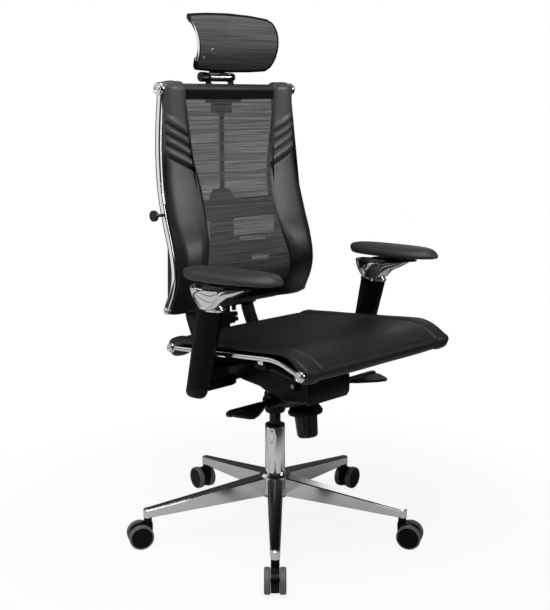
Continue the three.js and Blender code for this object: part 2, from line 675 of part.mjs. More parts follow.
// Pressed pan with turned-down sides, two rising cross arms to the rails, a straight crossbar
// that the arms bolt to, and ears on the front shaft.
function seatCarrier() {
  const panBottom = panTop - panThickness;
  const plate = prismZ(chamfered(-panHalfWidth, panHalfWidth, panFront, panRear, 24),
    panBottom, panTop);
  const flangeLine = [[panFront + 30, panTop], [panRear - 24, panTop],
    [panRear - 36, panTop - flangeDepth + 14], [panRear - 90, panTop - flangeDepth + 4],
    [panRear - 150, panTop - flangeDepth], [panFront + 66, panTop - flangeDepth + 4],
    [panFront + 34, panTop - flangeDepth + 16]];
  const flange = prismX(flangeLine, panHalfWidth - 5, panHalfWidth);
  const arm = (y) => {
    const seatZ = railZ(y) - seatRailDepth / 2 - railLugHeight - gap;
    const end = railX + seatRailWidth;
    const line = [[panHalfWidth - 30, panBottom], [panHalfWidth + 20, panBottom],
      [seatHalfWidth - 14, seatZ - 9], [end, seatZ - 9], [end, seatZ], [seatHalfWidth - 22, seatZ],
      [panHalfWidth + 6, panTop], [panHalfWidth - 30, panTop]];
    return prismY(line, y - crossArmWidth / 2, y + crossArmWidth / 2);
  };
  const stub = (y) => box(-panHalfWidth + 20, panHalfWidth - 20, y - crossArmWidth / 2,
    y + crossArmWidth / 2, panBottom, panTop);
  const crossbar = box(-armHalfSpan + sleeveBottom[1] + 24, armHalfSpan - sleeveBottom[1] - 24,
    armBlockY - armCrossbarWidth / 2, armBlockY + armCrossbarWidth / 2, panBottom, panTop);
  const earLine = [[seatAxis[0] - 16, panTop], [seatAxis[0] + 16, panTop],
    [seatAxis[0] + 9, seatAxis[1] - 9], [seatAxis[0] - 9, seatAxis[1] - 9]];
  const ear = cut(prismX(earLine, housingHalfWidth + 2, earOuter),
    barX(seatShaftDiameter / 2 + gap, 0, earOuter + 1, ...seatAxis, 14));
  const half = join(flange, arm(frontArmY), arm(rearArmY), ear);
  return join(plate, stub(frontArmY), stub(rearArmY), crossbar, half, mirror(half));
}
piece(upper, 'seat_carrier', seatCarrier(), ...blackMetal);

// ---------------------------------------------------------------- arms

const leanSlope = -Math.tan(deg(armLean));      // y per mm of height along the post
const footTop = armFootBottom + armFootHeight;
const sleeveStart = footTop + gap;
const sleeveEnd = sleeveStart + sleeveHeight;
const postY = (z) => armFootY + leanSlope * (z - armFootBottom);

// Level oval section round the leaning post, half length along y and half width along x.
function postRing(z, halfLength, halfWidth, power = 2.3, shiftY = 0) {
  return oval(halfWidth, halfLength, power, 18)
    .map(([x, y]) => [armHalfSpan + x, postY(z) + shiftY + y, z]);
}
const sleeveHalf = (z, k) => lerp(sleeveBottom[k], sleeveTop[k], (z - sleeveStart) / sleeveHeight);

// The whole arm stands turned about the post's foot.
const turned = (body) => body.translate([-armHalfSpan, -armFootY, 0])
  .rotate([0, 0, -armToeIn]).translate([armHalfSpan, armFootY, 0]);

// Foot: a rounded cap that carries the inner post, and a block bolted under the crossbar.
function armFoot() {
  const z0 = armFootBottom;
  const cap = loft([postRing(z0 - 4, sleeveBottom[0] - 9, sleeveBottom[1] - 7),
    postRing(z0, sleeveBottom[0] - 3, sleeveBottom[1] - 3),
    postRing(z0 + 8, ...sleeveBottom), postRing(footTop, ...sleeveBottom)]);
  const post = loft([postRing(footTop - 6, ...postHalf, 3),
    postRing(footTop + postRise, ...postHalf, 3)]);
  const inner = armHalfSpan - armBlockReach;
  const blockTop = panTop - panThickness - gap;
  const y0 = armBlockY - armCrossbarWidth / 2 + 2;
  const y1 = armBlockY + armCrossbarWidth / 2 - 2;
  const outline = [[armHalfSpan, y0 + 2], [armHalfSpan - 30, y0], [inner + 26, y0],
    [inner + 8, y0 + 8], [inner, armBlockY], [inner + 8, y1 - 8], [inner + 26, y1],
    [armHalfSpan - 52, y1], [armHalfSpan, y0 + 18]];
  const block = prismZ(outline, z0, footTop - 4);
  const padEnd = armHalfSpan - sleeveBottom[1] - 26;
  const pad = prismZ(chamfered(inner + 32, padEnd, y0 + 6, y1 - 6, 4), footTop - 6, blockTop);
  return join(turned(join(cap, post)), block, pad);
}

// Sleeve: an oval tube that widens upward and slides on the inner post.
function armSleeve() {
  const heights = steps(3, (t) => lerp(sleeveStart, sleeveEnd, t));
  const skin = loft(heights.map((z) => postRing(z, sleeveHalf(z, 0), sleeveHalf(z, 1))));
  const slot = loft([postRing(sleeveStart - 1, postHalf[0] + gap, postHalf[1] + gap, 3),
    postRing(footTop + postRise + 2, postHalf[0] + gap, postHalf[1] + gap, 3)]);
  return turned(cut(skin, slot));
}

// Bracket: a collar round the post and an oval cup, open at the top behind, that sweeps forward
// into a nose under the pad.
const deckZ = (y) => padCentre[1] - padThickness / 2 - plateThickness - 2 * gap
  - Math.tan(deg(padSlope)) * (y - padCentre[0]);
const onDeck = (body) => turned(body.rotate([-padSlope, 0, 0])
  .translate([armHalfSpan, padCentre[0], deckZ(padCentre[0])]));
function armBracket() {
  const base = sleeveEnd + gap;
  const rim = base + cupHeight;
  const cup = (inset, from) => {
    const rings = steps(3, (t) => {
      const z = lerp(from, rim, t);
      const s = Math.sin(((z - base) / cupHeight) * Math.PI / 2);
      const halfLength = lerp(sleeveTop[0] - 3, cupHalf[0], s) - inset;
      const halfWidth = lerp(sleeveTop[1] - 3, cupHalf[1], s) - inset;
      return postRing(z, halfLength, halfWidth, 2.2, 17 * s * s + 4 * s);
    });
    return loft(rings);
  };
  const collar = loft([[0, 0.4], [1.5, 1.5], [collarHeight - 3, 1.5], [collarHeight, -1.5]]
    .map(([h, out]) => postRing(base + h, sleeveTop[0] + out, sleeveTop[1] + out)));
  const noseRing = (y, halfWidth, under) => {
    const top = deckZ(y);
    const c = Math.min(7, (top - under) / 3);
    return [[-halfWidth + c, under], [halfWidth - c, under], [halfWidth, under + c],
      [halfWidth, top], [-halfWidth, top], [-halfWidth, under + c]]
      .map(([x, z]) => [armHalfSpan + x, y, z]);
  };
  const y0 = postY(base);
  const reach = y0 - bracketNose;
  const nose = loft([noseRing(y0 - 6, 22, base + 4), noseRing(y0 - 0.16 * reach, 23, base + 6),
    noseRing(y0 - 0.28 * reach, 23.5, base + 19), noseRing(y0 - 0.4 * reach, 22.5, base + 35),
    noseRing(y0 - 0.64 * reach, 19, base + 51), noseRing(bracketNose, 12, deckZ(bracketNose) - 4)]);
  const well = cup(cupWall, base + 16);
  const wellFront = box(armHalfSpan - 60, armHalfSpan + 60, y0 - 200, y0 - 14, base, rim + 60);
  const bowl = turned(cut(join(collar, cup(0, base + 1), nose), cut(well, wellFront)));
  const groove = box(-guideWidth / 2 - gap, guideWidth / 2 + gap, -300, 300,
    -guideDepth - gap, 60);
  return cut(bowl, onDeck(groove));
}

piece(upper, 'arm_foot_left', armFoot(), ...blackMetal);
piece(upper, 'arm_foot_right', mirror(armFoot()), ...blackMetal);
piece(upper, 'arm_sleeve_left', armSleeve(), ...blackPlastic);
piece(upper, 'arm_sleeve_right', mirror(armSleeve()), ...blackPlastic);
piece(upper, 'arm_bracket_left', armBracket(), ...chrome);
piece(upper, 'arm_bracket_right', mirror(armBracket()), ...chrome);

// Slide plate: a rib runs in the bracket's groove, and a round boss carries the pad.
function slidePlate() {
  const plate = loft([gap, plateThickness + gap].map((z) =>
    oval(plateWidth / 2, plateLength / 2, 4, 20).map(([x, y]) => [x, y, z])));
  const rib = box(-guideWidth / 2, guideWidth / 2, -plateLength / 2 + 20, 0, -guideDepth,
    gap + 1);
  const boss = revolve([[0, gap + 1], [padPinDiameter / 2, gap + 1],
    [padPinDiameter / 2, plateThickness + 9], [0, plateThickness + 9]], 14);
  return onDeck(join(plate, rib, boss));
}

// Pad: a long soft oval, fullest behind the middle, thin and rounded at the rim.
function armPad() {
  const z0 = plateThickness + 2 * gap;
  const layer = (z, inset) => oval(padWidth / 2 - inset, padLength / 2 - inset, 2.5, 24)
    .map(([x, y]) => [x * (1 - 0.16 * Math.max(0, -y / padLength) ** 1.2), y, z0 + z]);
  const body = loft([layer(0, 16), layer(padThickness * 0.2, 4), layer(padThickness * 0.45, 0),
    layer(padThickness * 0.76, 4), layer(padThickness, 20)]);
  const hole = revolve([[0, z0 - 1], [padPinDiameter / 2 + gap, z0 - 1],
    [padPinDiameter / 2 + gap, plateThickness + 9 + gap], [0, plateThickness + 9 + gap]], 14);
  return onDeck(cut(body, hole));
}
for (const [side, place] of [['left', (body) => body], ['right', mirror]]) {
  piece(upper, `arm_slide_${side}`, place(slidePlate()), ...blackPlastic);
  piece(upper, `arm_pad_${side}`, place(armPad()), ...leather);
}

// ---------------------------------------------------------------- back

const share = (z) => (backTop - z) / backHeight;
const heightAt = (t) => backTop - t * backHeight;
const lineY = through(backLine);
const halfWidthAt = through(backHalfWidths);
const meshHalfAt = through(meshHalfWidths);
const bow = (t) => Math.sin(Math.PI * THREE.MathUtils.clamp(t, 0, 1));
const backBars = [0, 1].map((t) => [lineY(t), heightAt(t)]);
const bareBar = backBarDiameter / 2;
const meshRoll = bareBar + gap + meshThickness;
// front of the side panels ahead of the rails' centre line
const rollAt = (t) => lerp(panelTopRoll, panelBottomRoll,
  THREE.MathUtils.smoothstep(t, 0.8, 1)) / 2;

const spineRear = spineY + spineThickness;
const beamLead = panelThickness - panelTopRoll / 2 + gap + beamThickness / 2;
const beamY = lineY(share(beamZ)) + beamLead;

// Side rail: an S-curved flat bar that spreads as it comes down, with a round cap at the top.
function backRail() {
  const line = steps(16, (t) => [lineY(t), heightAt(t)]);
  const blank = prismX(band(line, backRailDepth / 2), 0, backRailWidth);
  const ends = [0, 1].map((t) => barX(t ? backRailDepth / 2 : backCapDiameter / 2, 0,
    backRailWidth, lineY(t), heightAt(t), 16));
  const face = barX(backCapDiameter / 2 - 2, backRailWidth - 1, backRailWidth + backCapThickness,
    ...backBars[0], 16);
  const hole = barX(lumbarStemDiameter / 2 + gap, -1, backRailWidth + 1, beamY, beamZ, 10);
  const body = cut(join(blank, ...ends, face), hole);
  return body.warp((p) => { p[0] += halfWidthAt(share(p[2])) - backRailWidth; });
}
piece(upper, 'back_rail_left', backRail(), ...chrome);
piece(upper, 'back_rail_right', mirror(backRail()), ...chrome);

const railInner = (z) => halfWidthAt(share(z)) - backRailWidth - gap;
backBars.forEach(([y, z], i) => {
  const end = Math.min(railInner(z - bareBar), railInner(z + bareBar));
  piece(upper, ['back_top_bar', 'back_bottom_bar'][i], barX(bareBar, -end, end, y, z, 16),
    ...blackMetal);
});

// Front outline of one half of the sling, between two half-width functions.
function halfOutline(inner, outer) {
  const ts = steps(10, (t) => lerp(-0.06, 1.06, t));
  return [...ts.map((t) => [inner(t), heightAt(t)]),
    ...ts.map((t) => [outer(t), heightAt(t)]).reverse()];
}
const barHoles = backBars.map(([y, z]) =>
  barX(bareBar + gap, -halfWidthAt(1.03) - 1, halfWidthAt(1.03) + 1, y, z, 16));

// Leather side panel: a pad along the rail that rolls round both bars.
function sidePanel() {
  const lines = [0, panelThickness].map((back) =>
    steps(14, (t) => [lineY(t) - rollAt(t) + back, heightAt(t)]));
  const [front, rear] = [lines[0], lines[1].reverse()];
  const slab = prismX([...front, ...rear], 0, halfWidthAt(1.03));
  const rolls = backBars.map(([y, z], i) => barX(rollAt(i), 0, halfWidthAt(1.03), y, z, 16));
  const outline = prismY(halfOutline((t) => meshHalfAt(t) + gap,
    (t) => halfWidthAt(t) - backRailWidth - softGap), 0, spineRear);
  return cut(join(slab, ...rolls).intersect(outline), ...barHoles);
}
piece(upper, 'side_panel_left', sidePanel(), ...leather);
piece(upper, 'side_panel_right', mirror(sidePanel()), ...leather);

// Mesh: a thin sheet bowed forward between the panels, sleeved over both bars.
function backMesh() {
  const lead = (t) => meshRoll - meshThickness / 2 + 6 * bow(t);
  const line = steps(12, (t) => [lineY(t) - lead(t), heightAt(t)]);
  const half = meshHalfAt(0) + 8;
  const sheet = prismX(band(line, meshThickness / 2), -half, half);
  const sleeves = backBars.map(([y, z]) => barX(meshRoll, -half, half, y, z, 16));
  const outline = prismY(halfOutline((t) => -meshHalfAt(t), meshHalfAt), 0, spineRear);
  return cut(join(sheet, ...sleeves).intersect(outline), ...barHoles);
}
piece(upper, 'back_mesh', backMesh(), ...meshCloth);

// ---------------------------------------------------------------- spine and lumbar beam

// Shape of the lumbar beam between two side planes: it follows the rails, behind the panels.
function beamBlank(x0, x1, spare = 0, ahead = 0) {
  const line = steps(6, (t) => {
    const s = share(beamZ + lerp(-0.5, 0.5, t) * (beamHeight + 8 * spare));
    return [lineY(s) + beamLead, heightAt(s)];
  });
  return prismX(band(line, beamThickness / 2 + spare, beamThickness / 2 + spare + ahead), x0, x1);
}

// Moulded spine: a plate with two slotted wings swept forward, two feet for the struts, a
// tongue that hangs below them with catch bolts to each side, and a block that carries the beam.
function spinePlate() {
  const w = spineHalfWidth;
  const side = [[tongueHalfWidth - 6, tongueBottom], [tongueHalfWidth, tongueBottom + 6],
    [tongueHalfWidth, strutFootBottom], [strutFootHalf - 6, strutFootBottom],
    [strutFootHalf, strutFootBottom + 8], [strutFootHalf, strutFootTop - 8],
    [strutFootHalf - 8, strutFootTop], [w + 4, strutFootTop + 4], [w, strutFootTop + 10],
    [w - 2, spineTop - 14], [w - 14, spineTop]];
  const plate = prismY([...side, ...side.map(([x, z]) => [-x, z]).reverse()], spineY, spineRear);
  const sweep = new THREE.SplineCurve([[0, 0], [0.2, 0.03], [0.6, 0.36], [1, 1]]
    .map(([u, v]) => new THREE.Vector2(lerp(w - 6, wingHalfWidth, u),
      spineY + wingThickness / 2 - v * wingSweep)));
  const wing = prismZ(band(sweep.getPoints(8).map((p) => [p.x, p.y]), wingThickness / 2),
    strutFootTop - 2, wingTop).intersect(prismY([[0, strutFootTop - 3],
    [wingHalfWidth - 10, strutFootTop - 3], [wingHalfWidth, strutFootTop + 8],
    [wingHalfWidth, wingTop - 12], [wingHalfWidth - 10, wingTop], [0, wingTop]], 0, spineRear));
  const block = cut(box(-28, 28, beamY, spineY + 1, beamZ - 18, beamZ + 18),
    beamBlank(-40, 40, gap, spineY));
  const socket = box(-14, 14, spineY - 8, spineY + 1, spineTop - 60, spineTop - 8);
  const ribs = [-1, 1].map((s) => box(s * 16 - 2, s * 16 + 2, spineY - 6, spineY + 1,
    wingTop + 8, beamZ - 17));
  const hole = revolve([[0, spineTop - 50], [rodDiameter / 2 + gap, spineTop - 50],
    [rodDiameter / 2 + gap, spineTop + 20], [0, spineTop + 20]], 12)
    .translate([0, spineY + spineThickness / 2 - 3, 0]);
  const [slitX, slotX] = [w + 18, wingHalfWidth - 41];
  const windows = [
    [slitX, slitX + slitSize[0], wingTop - 5 - slitSize[1], wingTop - 5],
    [slotX - slotSize[0], slotX, wingTop - 55 - slotSize[1], wingTop - 55]].map(([x0, x1, z0, z1]) =>
    box(x0, x1, spineY - wingSweep - wingThickness, spineRear, z0, z1));
  const openWing = cut(wing, ...windows);
  const r = catchRadius;
  const catches = join(
    box(tongueHalfWidth - 1, tongueHalfWidth + 18, spineY, spineRear, strutFootBottom - 46,
      strutFootBottom - 17),
    barX(r, tongueHalfWidth + 16, tongueHalfWidth + 27, spineY + r, strutFootBottom - 24, 12),
    barX(r - 1, tongueHalfWidth + 16, tongueHalfWidth + 30, spineY + r, strutFootBottom - 38, 12),
    revolve([[0, 0], [r - 1, 0], [r - 1, 15], [0, 15]], 12)
      .translate([tongueHalfWidth + 18, spineY + r - 1, strutFootBottom - 13]));
  return cut(join(plate, block, socket, ...ribs, catches, mirror(catches), openWing,
    mirror(openWing)), hole);
}
piece(upper, 'spine_plate', spinePlate(), ...blackPlastic);

// Lumbar beam: a curved crosspiece whose ends meet the rails.
function lumbarBeam() {
  const [z0, z1] = [beamZ - beamHeight, beamZ + beamHeight];
  const [lower, upperEnd] = [z0, z1].map((z) => railInner(z) - softGap);
  const ends = prismY([[-lower, z0], [lower, z0], [upperEnd, z1], [-upperEnd, z1]], 0, spineRear);
  return cut(beamBlank(-lower - 9, lower + 9).intersect(ends), stemHole);
}
const stemSeat = -railInner(beamZ) + 16;
const stemHole = barX(lumbarStemDiameter / 2 + gap, -railInner(beamZ) - 9, stemSeat, beamY,
  beamZ, 10);
piece(upper, 'lumbar_beam', lumbarBeam(), ...blackPlastic);

const lumbarOuter = halfWidthAt(share(beamZ)) + lumbarStem;
const lumbarKnob = join(
  barX(lumbarStemDiameter / 2, -lumbarOuter - 2, stemSeat - gap, beamY, beamZ, 10),
  barX(lumbarKnobDiameter / 2, -lumbarOuter - lumbarKnobThickness, -lumbarOuter, beamY, beamZ,
    20));
piece(upper, 'lumbar_knob', lumbarKnob, ...blackPlastic);

// Struts: flat bars from the recline shaft, back under the seat and up behind the wings.
function strut() {
  const y1 = spineRear + gap + strutThickness / 2;
  const [ay, az] = reclineAxis;
  const rise = strutFootBottom - az;
  const path = new THREE.SplineCurve([[ay, az], [ay + 46, az + 2], [ay + 92, az + 14],
    [lerp(ay, y1, 0.75), az + 0.33 * rise], [lerp(ay, y1, 0.88), az + 0.6 * rise],
    [y1 - 3, az + 0.9 * rise], [y1, strutFootBottom + 8], [y1, strutFootTop - 4]]
    .map((p) => new THREE.Vector2(...p)));
  const line = path.getPoints(14).map((p) => [p.x, p.y]);
  const bar = prismX(band(line, strutThickness / 2), strutInner, strutOuter);
  const eye = barX(reclineShaftDiameter / 2 + 5, strutInner, strutOuter, ay, az, 16);
  const hole = barX(reclineShaftDiameter / 2 + gap, strutInner - 1, strutOuter + 1, ay, az, 12);
  return cut(join(bar, eye), hole);
}
piece(upper, 'back_strut_left', strut(), ...blackMetal);
piece(upper, 'back_strut_right', mirror(strut()), ...blackMetal);

// Upper spine: a rod into the spine plate and a saddle behind the top bar with two lugs.
function upperSpine() {
  const rodY = spineY + spineThickness / 2 - 3;
  const [barY, barZ] = backBars[0];
  const [py, pz] = headPivot;
  const rod = revolve([[0, spineTop - 48], [rodDiameter / 2, spineTop - 48],
    [rodDiameter / 2, barZ - 40], [0, barZ - 40]], 12).translate([0, rodY, 0]);
  const block = box(-26, 26, rodY - 9, rodY + 9, barZ - 58, barZ - 30);
  const saddle = cut(box(-saddleHalfWidth, saddleHalfWidth, barY + 2, rodY + 9, barZ - 32,
    barZ + 12), barX(meshRoll + gap, -60, 60, barY, barZ, 16));
  const inner = pivotTubeLength / 2 + gap;
  const lug = cut(join(
    barX(pivotTubeDiameter / 2, inner, inner + lugThickness, py, pz, 14),
    prismX([[py - 9, pz - 4], [rodY - 8, barZ + 4], [rodY + 9, barZ + 4], [py + 9, pz - 4]],
      inner, inner + lugThickness)),
  barX(headBoltDiameter / 2 + gap, 0, 90, py, pz, 10));
  return join(rod, block, saddle, lug, mirror(lug));
}
piece(upper, 'upper_spine', upperSpine(), ...blackPlastic);

// ---------------------------------------------------------------- headrest

// Clamp bolt with a knurled knob on the right and a nut on the left of a pair of lugs.
function clampBolt([y, z], lugOuter) {
  const r = headKnobDiameter / 2;
  const outline = Array.from({ length: 20 }, (_, i) => {
    const t = (2 * Math.PI * i) / 20;
    const radius = i % 2 ? r : r - 1;
    return [y + radius * Math.cos(t), z + radius * Math.sin(t)];
  });
  const face = lugOuter + gap;
  return join(prismX(outline, -face - headKnobLength, -face),
    barX(headBoltDiameter / 2, -face - 1, face + 1, y, z, 10),
    barX(r - 2, face, face + headNutThickness, y, z, 12));
}
const lowerLug = pivotTubeLength / 2 + gap + lugThickness;
const upperLug = linkBarrelLength / 2 + gap + lugThickness;
piece(upper, 'headrest_lower_knob', clampBolt(headPivot, lowerLug), ...blackPlastic);
piece(upper, 'headrest_upper_knob', clampBolt(headUpperPivot, upperLug), ...blackPlastic);

// Pivot tube between the lower lugs.
const headTube = cut(
  barX(pivotTubeDiameter / 2, -pivotTubeLength / 2, pivotTubeLength / 2, ...headPivot, 18),
  barX(headBoltDiameter / 2 + gap, -pivotTubeLength, pivotTubeLength, ...headPivot, 10));
piece(upper, 'headrest_tube', headTube, ...chrome);

// Link from the pivot tube up to the barrel of the headrest's own pivot.
function headLink() {
  const [y0, z0] = headPivot;
  const [y1, z1] = headUpperPivot;
  const half = linkBarrelLength / 2;
  const plate = prismX(band([[y0, z0], [y1, z1]], 5), -22, 22);
  const clear = barX(pivotTubeDiameter / 2 + gap, -40, 40, y0, z0, 18);
  const barrel = barX(8.5, -half, half, y1, z1, 14);
  const bore = barX(headBoltDiameter / 2 + gap, -half - 1, half + 1, y1, z1, 10);
  return cut(join(cut(plate, clear), barrel), bore);
}
piece(upper, 'headrest_link', headLink(), ...blackMetal);

// The headrest's curved face as a slab between two radii, with round corners and a crowned top
// edge; an inset draws all four edges in.
const headCentreY = headFront + headRadius;
const headHalf = (z) => lerp(headBottomHalfWidth, headTopHalfWidth,
  (z + headBottom) / (headTop + headBottom));
function headSlab(outer, inner, inset = 0) {
  const us = [0, 0.5, 0.82, 0.95, 1];
  const stations = [...us.map((u) => -u).reverse(), ...us.slice(1)];
  const corner = (u) => {
    const past = Math.max(0, Math.abs(u) * headBottomHalfWidth - headBottomHalfWidth + headCorner);
    return headCorner - Math.sqrt(headCorner ** 2 - past ** 2);
  };
  const face = (radius) => stations.map((u) => steps(8, (t) => {
    const from = -Math.asin((headBottom - corner(u) - inset) / headRadius);
    const to = Math.asin((headTop - corner(u) - inset) / headRadius);
    const angle = lerp(from, to, t);
    const z = radius * Math.sin(angle);
    const rise = 1 + (1 - u * u) * (z > 0 ? headTopCrown / headTop : headBottomCrown / headBottom);
    return [u * (headHalf(z) - inset), headCentreY - radius * Math.cos(angle),
      headMiddle + z * rise];
  }));
  return slab(face(outer), face(inner));
}

// Frame: a hoop round the edge, and a strap behind the mesh with two ears on the upper pivot.
function headFrame() {
  const hoop = cut(headSlab(headRadius + 1, headRadius + 1 - headRimDepth),
    headSlab(headRadius + 4, headRadius - headRimDepth - 4, headRimWidth));
  const strapRadius = headRadius - headMeshThickness - gap - 3;
  const at = (h) => {
    const angle = Math.asin(h / strapRadius);
    return [headCentreY - strapRadius * Math.cos(angle),
      headMiddle + h * (1 + (h > 0 ? headTopCrown / headTop : headBottomCrown / headBottom))];
  };
  const span = steps(8, (t) => at(lerp(2 - headBottom, headTop - 5, t)));
  const strap = prismX(band(span, 2), -headStrapHalfWidth, headStrapHalfWidth);
  const [py, pz] = headUpperPivot;
  const [low, high] = [-14, 22].map((h) => at(pz + h - headMiddle));
  const x0 = linkBarrelLength / 2 + gap;
  const ear = cut(join(barX(9.5, x0, x0 + lugThickness, py, pz, 12),
    prismX([[py, pz + 9], [py, pz - 9], low, high], x0, x0 + lugThickness)),
  barX(headBoltDiameter / 2 + gap, x0 - 1, x0 + lugThickness + 1, py, pz, 10));
  return join(hoop, strap, ear, mirror(ear));
}
piece(upper, 'headrest_frame', headFrame(), ...blackMetal);

// Mesh of the headrest, stretched across the hoop.
piece(upper, 'headrest_mesh', headSlab(headRadius, headRadius - headMeshThickness,
  headRimWidth + gap), ...meshCloth);

export default chair;
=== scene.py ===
import json
import math
import numpy as np
import bpy
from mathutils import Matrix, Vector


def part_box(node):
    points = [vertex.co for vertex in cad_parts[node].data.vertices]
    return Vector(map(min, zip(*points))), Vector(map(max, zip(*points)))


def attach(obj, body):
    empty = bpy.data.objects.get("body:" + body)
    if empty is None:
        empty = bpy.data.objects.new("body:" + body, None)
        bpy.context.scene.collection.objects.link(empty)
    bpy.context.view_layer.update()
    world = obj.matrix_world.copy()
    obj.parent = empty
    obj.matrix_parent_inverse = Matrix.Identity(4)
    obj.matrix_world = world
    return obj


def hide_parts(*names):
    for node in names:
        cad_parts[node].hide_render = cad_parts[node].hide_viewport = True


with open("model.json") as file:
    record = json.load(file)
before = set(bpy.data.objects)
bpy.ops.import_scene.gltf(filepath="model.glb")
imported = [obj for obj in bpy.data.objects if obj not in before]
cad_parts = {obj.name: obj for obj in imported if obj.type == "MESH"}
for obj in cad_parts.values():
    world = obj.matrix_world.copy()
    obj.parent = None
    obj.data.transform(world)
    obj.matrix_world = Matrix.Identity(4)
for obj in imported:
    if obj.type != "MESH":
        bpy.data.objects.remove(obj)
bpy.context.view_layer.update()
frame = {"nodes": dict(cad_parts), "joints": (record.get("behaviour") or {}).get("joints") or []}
node = frame["nodes"]

# The studio: a pale floor and backdrop, a large soft lamp above, smaller ones around, and a scrim
# and white cards outside the view for the chrome to reflect. The camera stands at the chair's
# front right, above the seat, and looks down a little.
CAMERA_FROM_COLUMN, CAMERA_HEIGHT, CAMERA_TURN, LENS = (-1.6533, -1.7214), 1.0732, (78.284, 0, -43.84), 59.31
WHITE = (1, 1, 1, 1)
DIM = (0.1, 0.1, 0.1, 1)
NIGHT = (0.045, 0.045, 0.045, 1)     # what the chair sees of the room beyond the studio
LAMPS = (                            # name, place, aim, size, power, spread in degrees
    ("top_light", (-1.2, -0.6, 3.3), (0, 0, 0.6), 2.4, 80, 180),
    ("front_light", (2.1, -2.7, 1.98), (0, 0.15, 1.24), 1.1, 3.1, 44),
    ("rail_light", (-2.4, 2.3, 0.85), (0, 0, 0.85), 1.5, 6, 180),
    ("rear_light", (3.1, 1.5, 2.0), (0, 0, 0.4), 1.1, 5, 180),
    ("back_light", (-1.4, 3.0, 2.9), (0, 0, 0.5), 1.8, 9, 180))
CARD_HEIGHT, LEFT_CARDS = 0.004, ((-0.70, -1.05), (-1.12, -1.60), (-1.72, -2.9))
# Over the floor, two distances from the middle and a value at each: the grey that other rays
# see, and the share of plain white in what the camera sees.
FLOOR_GREY, FLOOR_WHITE = (0.6, 1.6, 0.75, 0.05), (0.6, 1.0, 0.9, 1.0)

scene = bpy.context.scene
scene.view_settings.view_transform = "Standard"
tube_low, tube_high = (np.array(corner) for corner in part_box("column_tube"))
column_x, column_y = (tube_low[:2] + tube_high[:2]) / 2

camera_data = bpy.data.cameras.new("camera")
camera_data.lens, camera_data.sensor_width, camera_data.clip_end = LENS, 36, 50
camera = bpy.data.objects.new("camera", camera_data)
camera.location = (column_x + CAMERA_FROM_COLUMN[0], column_y + CAMERA_FROM_COLUMN[1], CAMERA_HEIGHT)
camera.rotation_euler = [math.radians(angle) for angle in CAMERA_TURN]
scene.collection.objects.link(camera)
scene.camera = camera


class Signal:
    """A value in a shader. Sums and products of it add Math nodes to its tree."""

    def __init__(self, socket):
        self.socket = socket

    def __add__(self, other):
        return math_node("ADD", self, other)

    def __sub__(self, other):
        return math_node("SUBTRACT", self, other)

    def __mul__(self, other):
        return math_node("MULTIPLY", self, other)

    def __abs__(self):
        return math_node("ABSOLUTE", self)

    __radd__, __rmul__ = __add__, __mul__


def feed(made, inputs):
    """Give a node's inputs, as {label: value}, numbers, colours, signals or sockets."""
    for label, value in dict(inputs).items():
        value = value.socket if isinstance(value, Signal) else value
        if isinstance(value, bpy.types.NodeSocket):
            made.id_data.links.new(value, made.inputs[label])
        else:
            made.inputs[label].default_value = value


def new_node(tree, kind, inputs=(), **settings):
    """A shader node of a kind, with its settings and its inputs."""
    made = tree.nodes.new("ShaderNode" + kind)
    for label, value in settings.items():
        setattr(made, label, value)
    feed(made, inputs)
    return made


def math_node(operation, *values):
    """A Math node over signals and numbers, at least one of them a signal."""
    tree = next(value for value in values if isinstance(value, Signal)).socket.id_data
    return Signal(new_node(tree, "Math", enumerate(values), operation=operation).outputs[0])


def node_material(name):
    """A node material, with its node tree and its Principled BSDF."""
    material = bpy.data.materials.new(name)
    material.use_nodes = True
    return material, material.node_tree, material.node_tree.nodes["Principled BSDF"]


def seen_directly(tree):
    """1 for what the camera sees, also through cloth, and 0 for what other rays see."""
    ray = new_node(tree, "LightPath").outputs
    return math_node("MAXIMUM", Signal(ray["Is Camera Ray"]), Signal(ray["Is Transmission Ray"]))


def mix_shaders(tree, share, first, second, output):
    """Send a share of the second shader and the rest of the first to an output node."""
    mix = new_node(tree, "MixShader", {"Fac": share, 1: first.outputs[0], 2: second.outputs[0]})
    feed(tree.nodes[output], {"Surface": mix.outputs[0]})


def studio_paper():
    """Studio paper. The camera sees it white, and near the chair a tenth of that takes shadows.
    Other rays see a grey sheet that darkens outwards."""
    material, tree, shader = node_material("studio_paper")
    place = new_node(tree, "TexCoord").outputs["Object"]
    far = new_node(tree, "VectorMath", {0: place}, operation="LENGTH").outputs["Value"]

    def fade(limits):
        """A smooth change between two distances, from one value to another."""
        labels = ("From Min", "From Max", "To Min", "To Max")
        return Signal(new_node(tree, "MapRange", {"Value": far, **dict(zip(labels, limits))},
                               interpolation_type="SMOOTHSTEP").outputs["Result"])

    ray = new_node(tree, "LightPath").outputs
    tone = new_node(tree, "Mix", {"Factor": ray["Is Camera Ray"], "A": fade(FLOOR_GREY), "B": WHITE},
                    data_type="RGBA")
    feed(shader, {"Base Color": tone.outputs["Result"], "Roughness": 0.9})
    glow = new_node(tree, "Emission", {"Color": WHITE})
    mix_shaders(tree, seen_directly(tree) * fade(FLOOR_WHITE), shader, glow, "Material Output")
    return material


def glowing(name, strength):
    """A dim sheet that shines white."""
    material, _, shader = node_material(name)
    feed(shader, {"Base Color": DIM, "Emission Color": WHITE, "Emission Strength": strength})
    return material


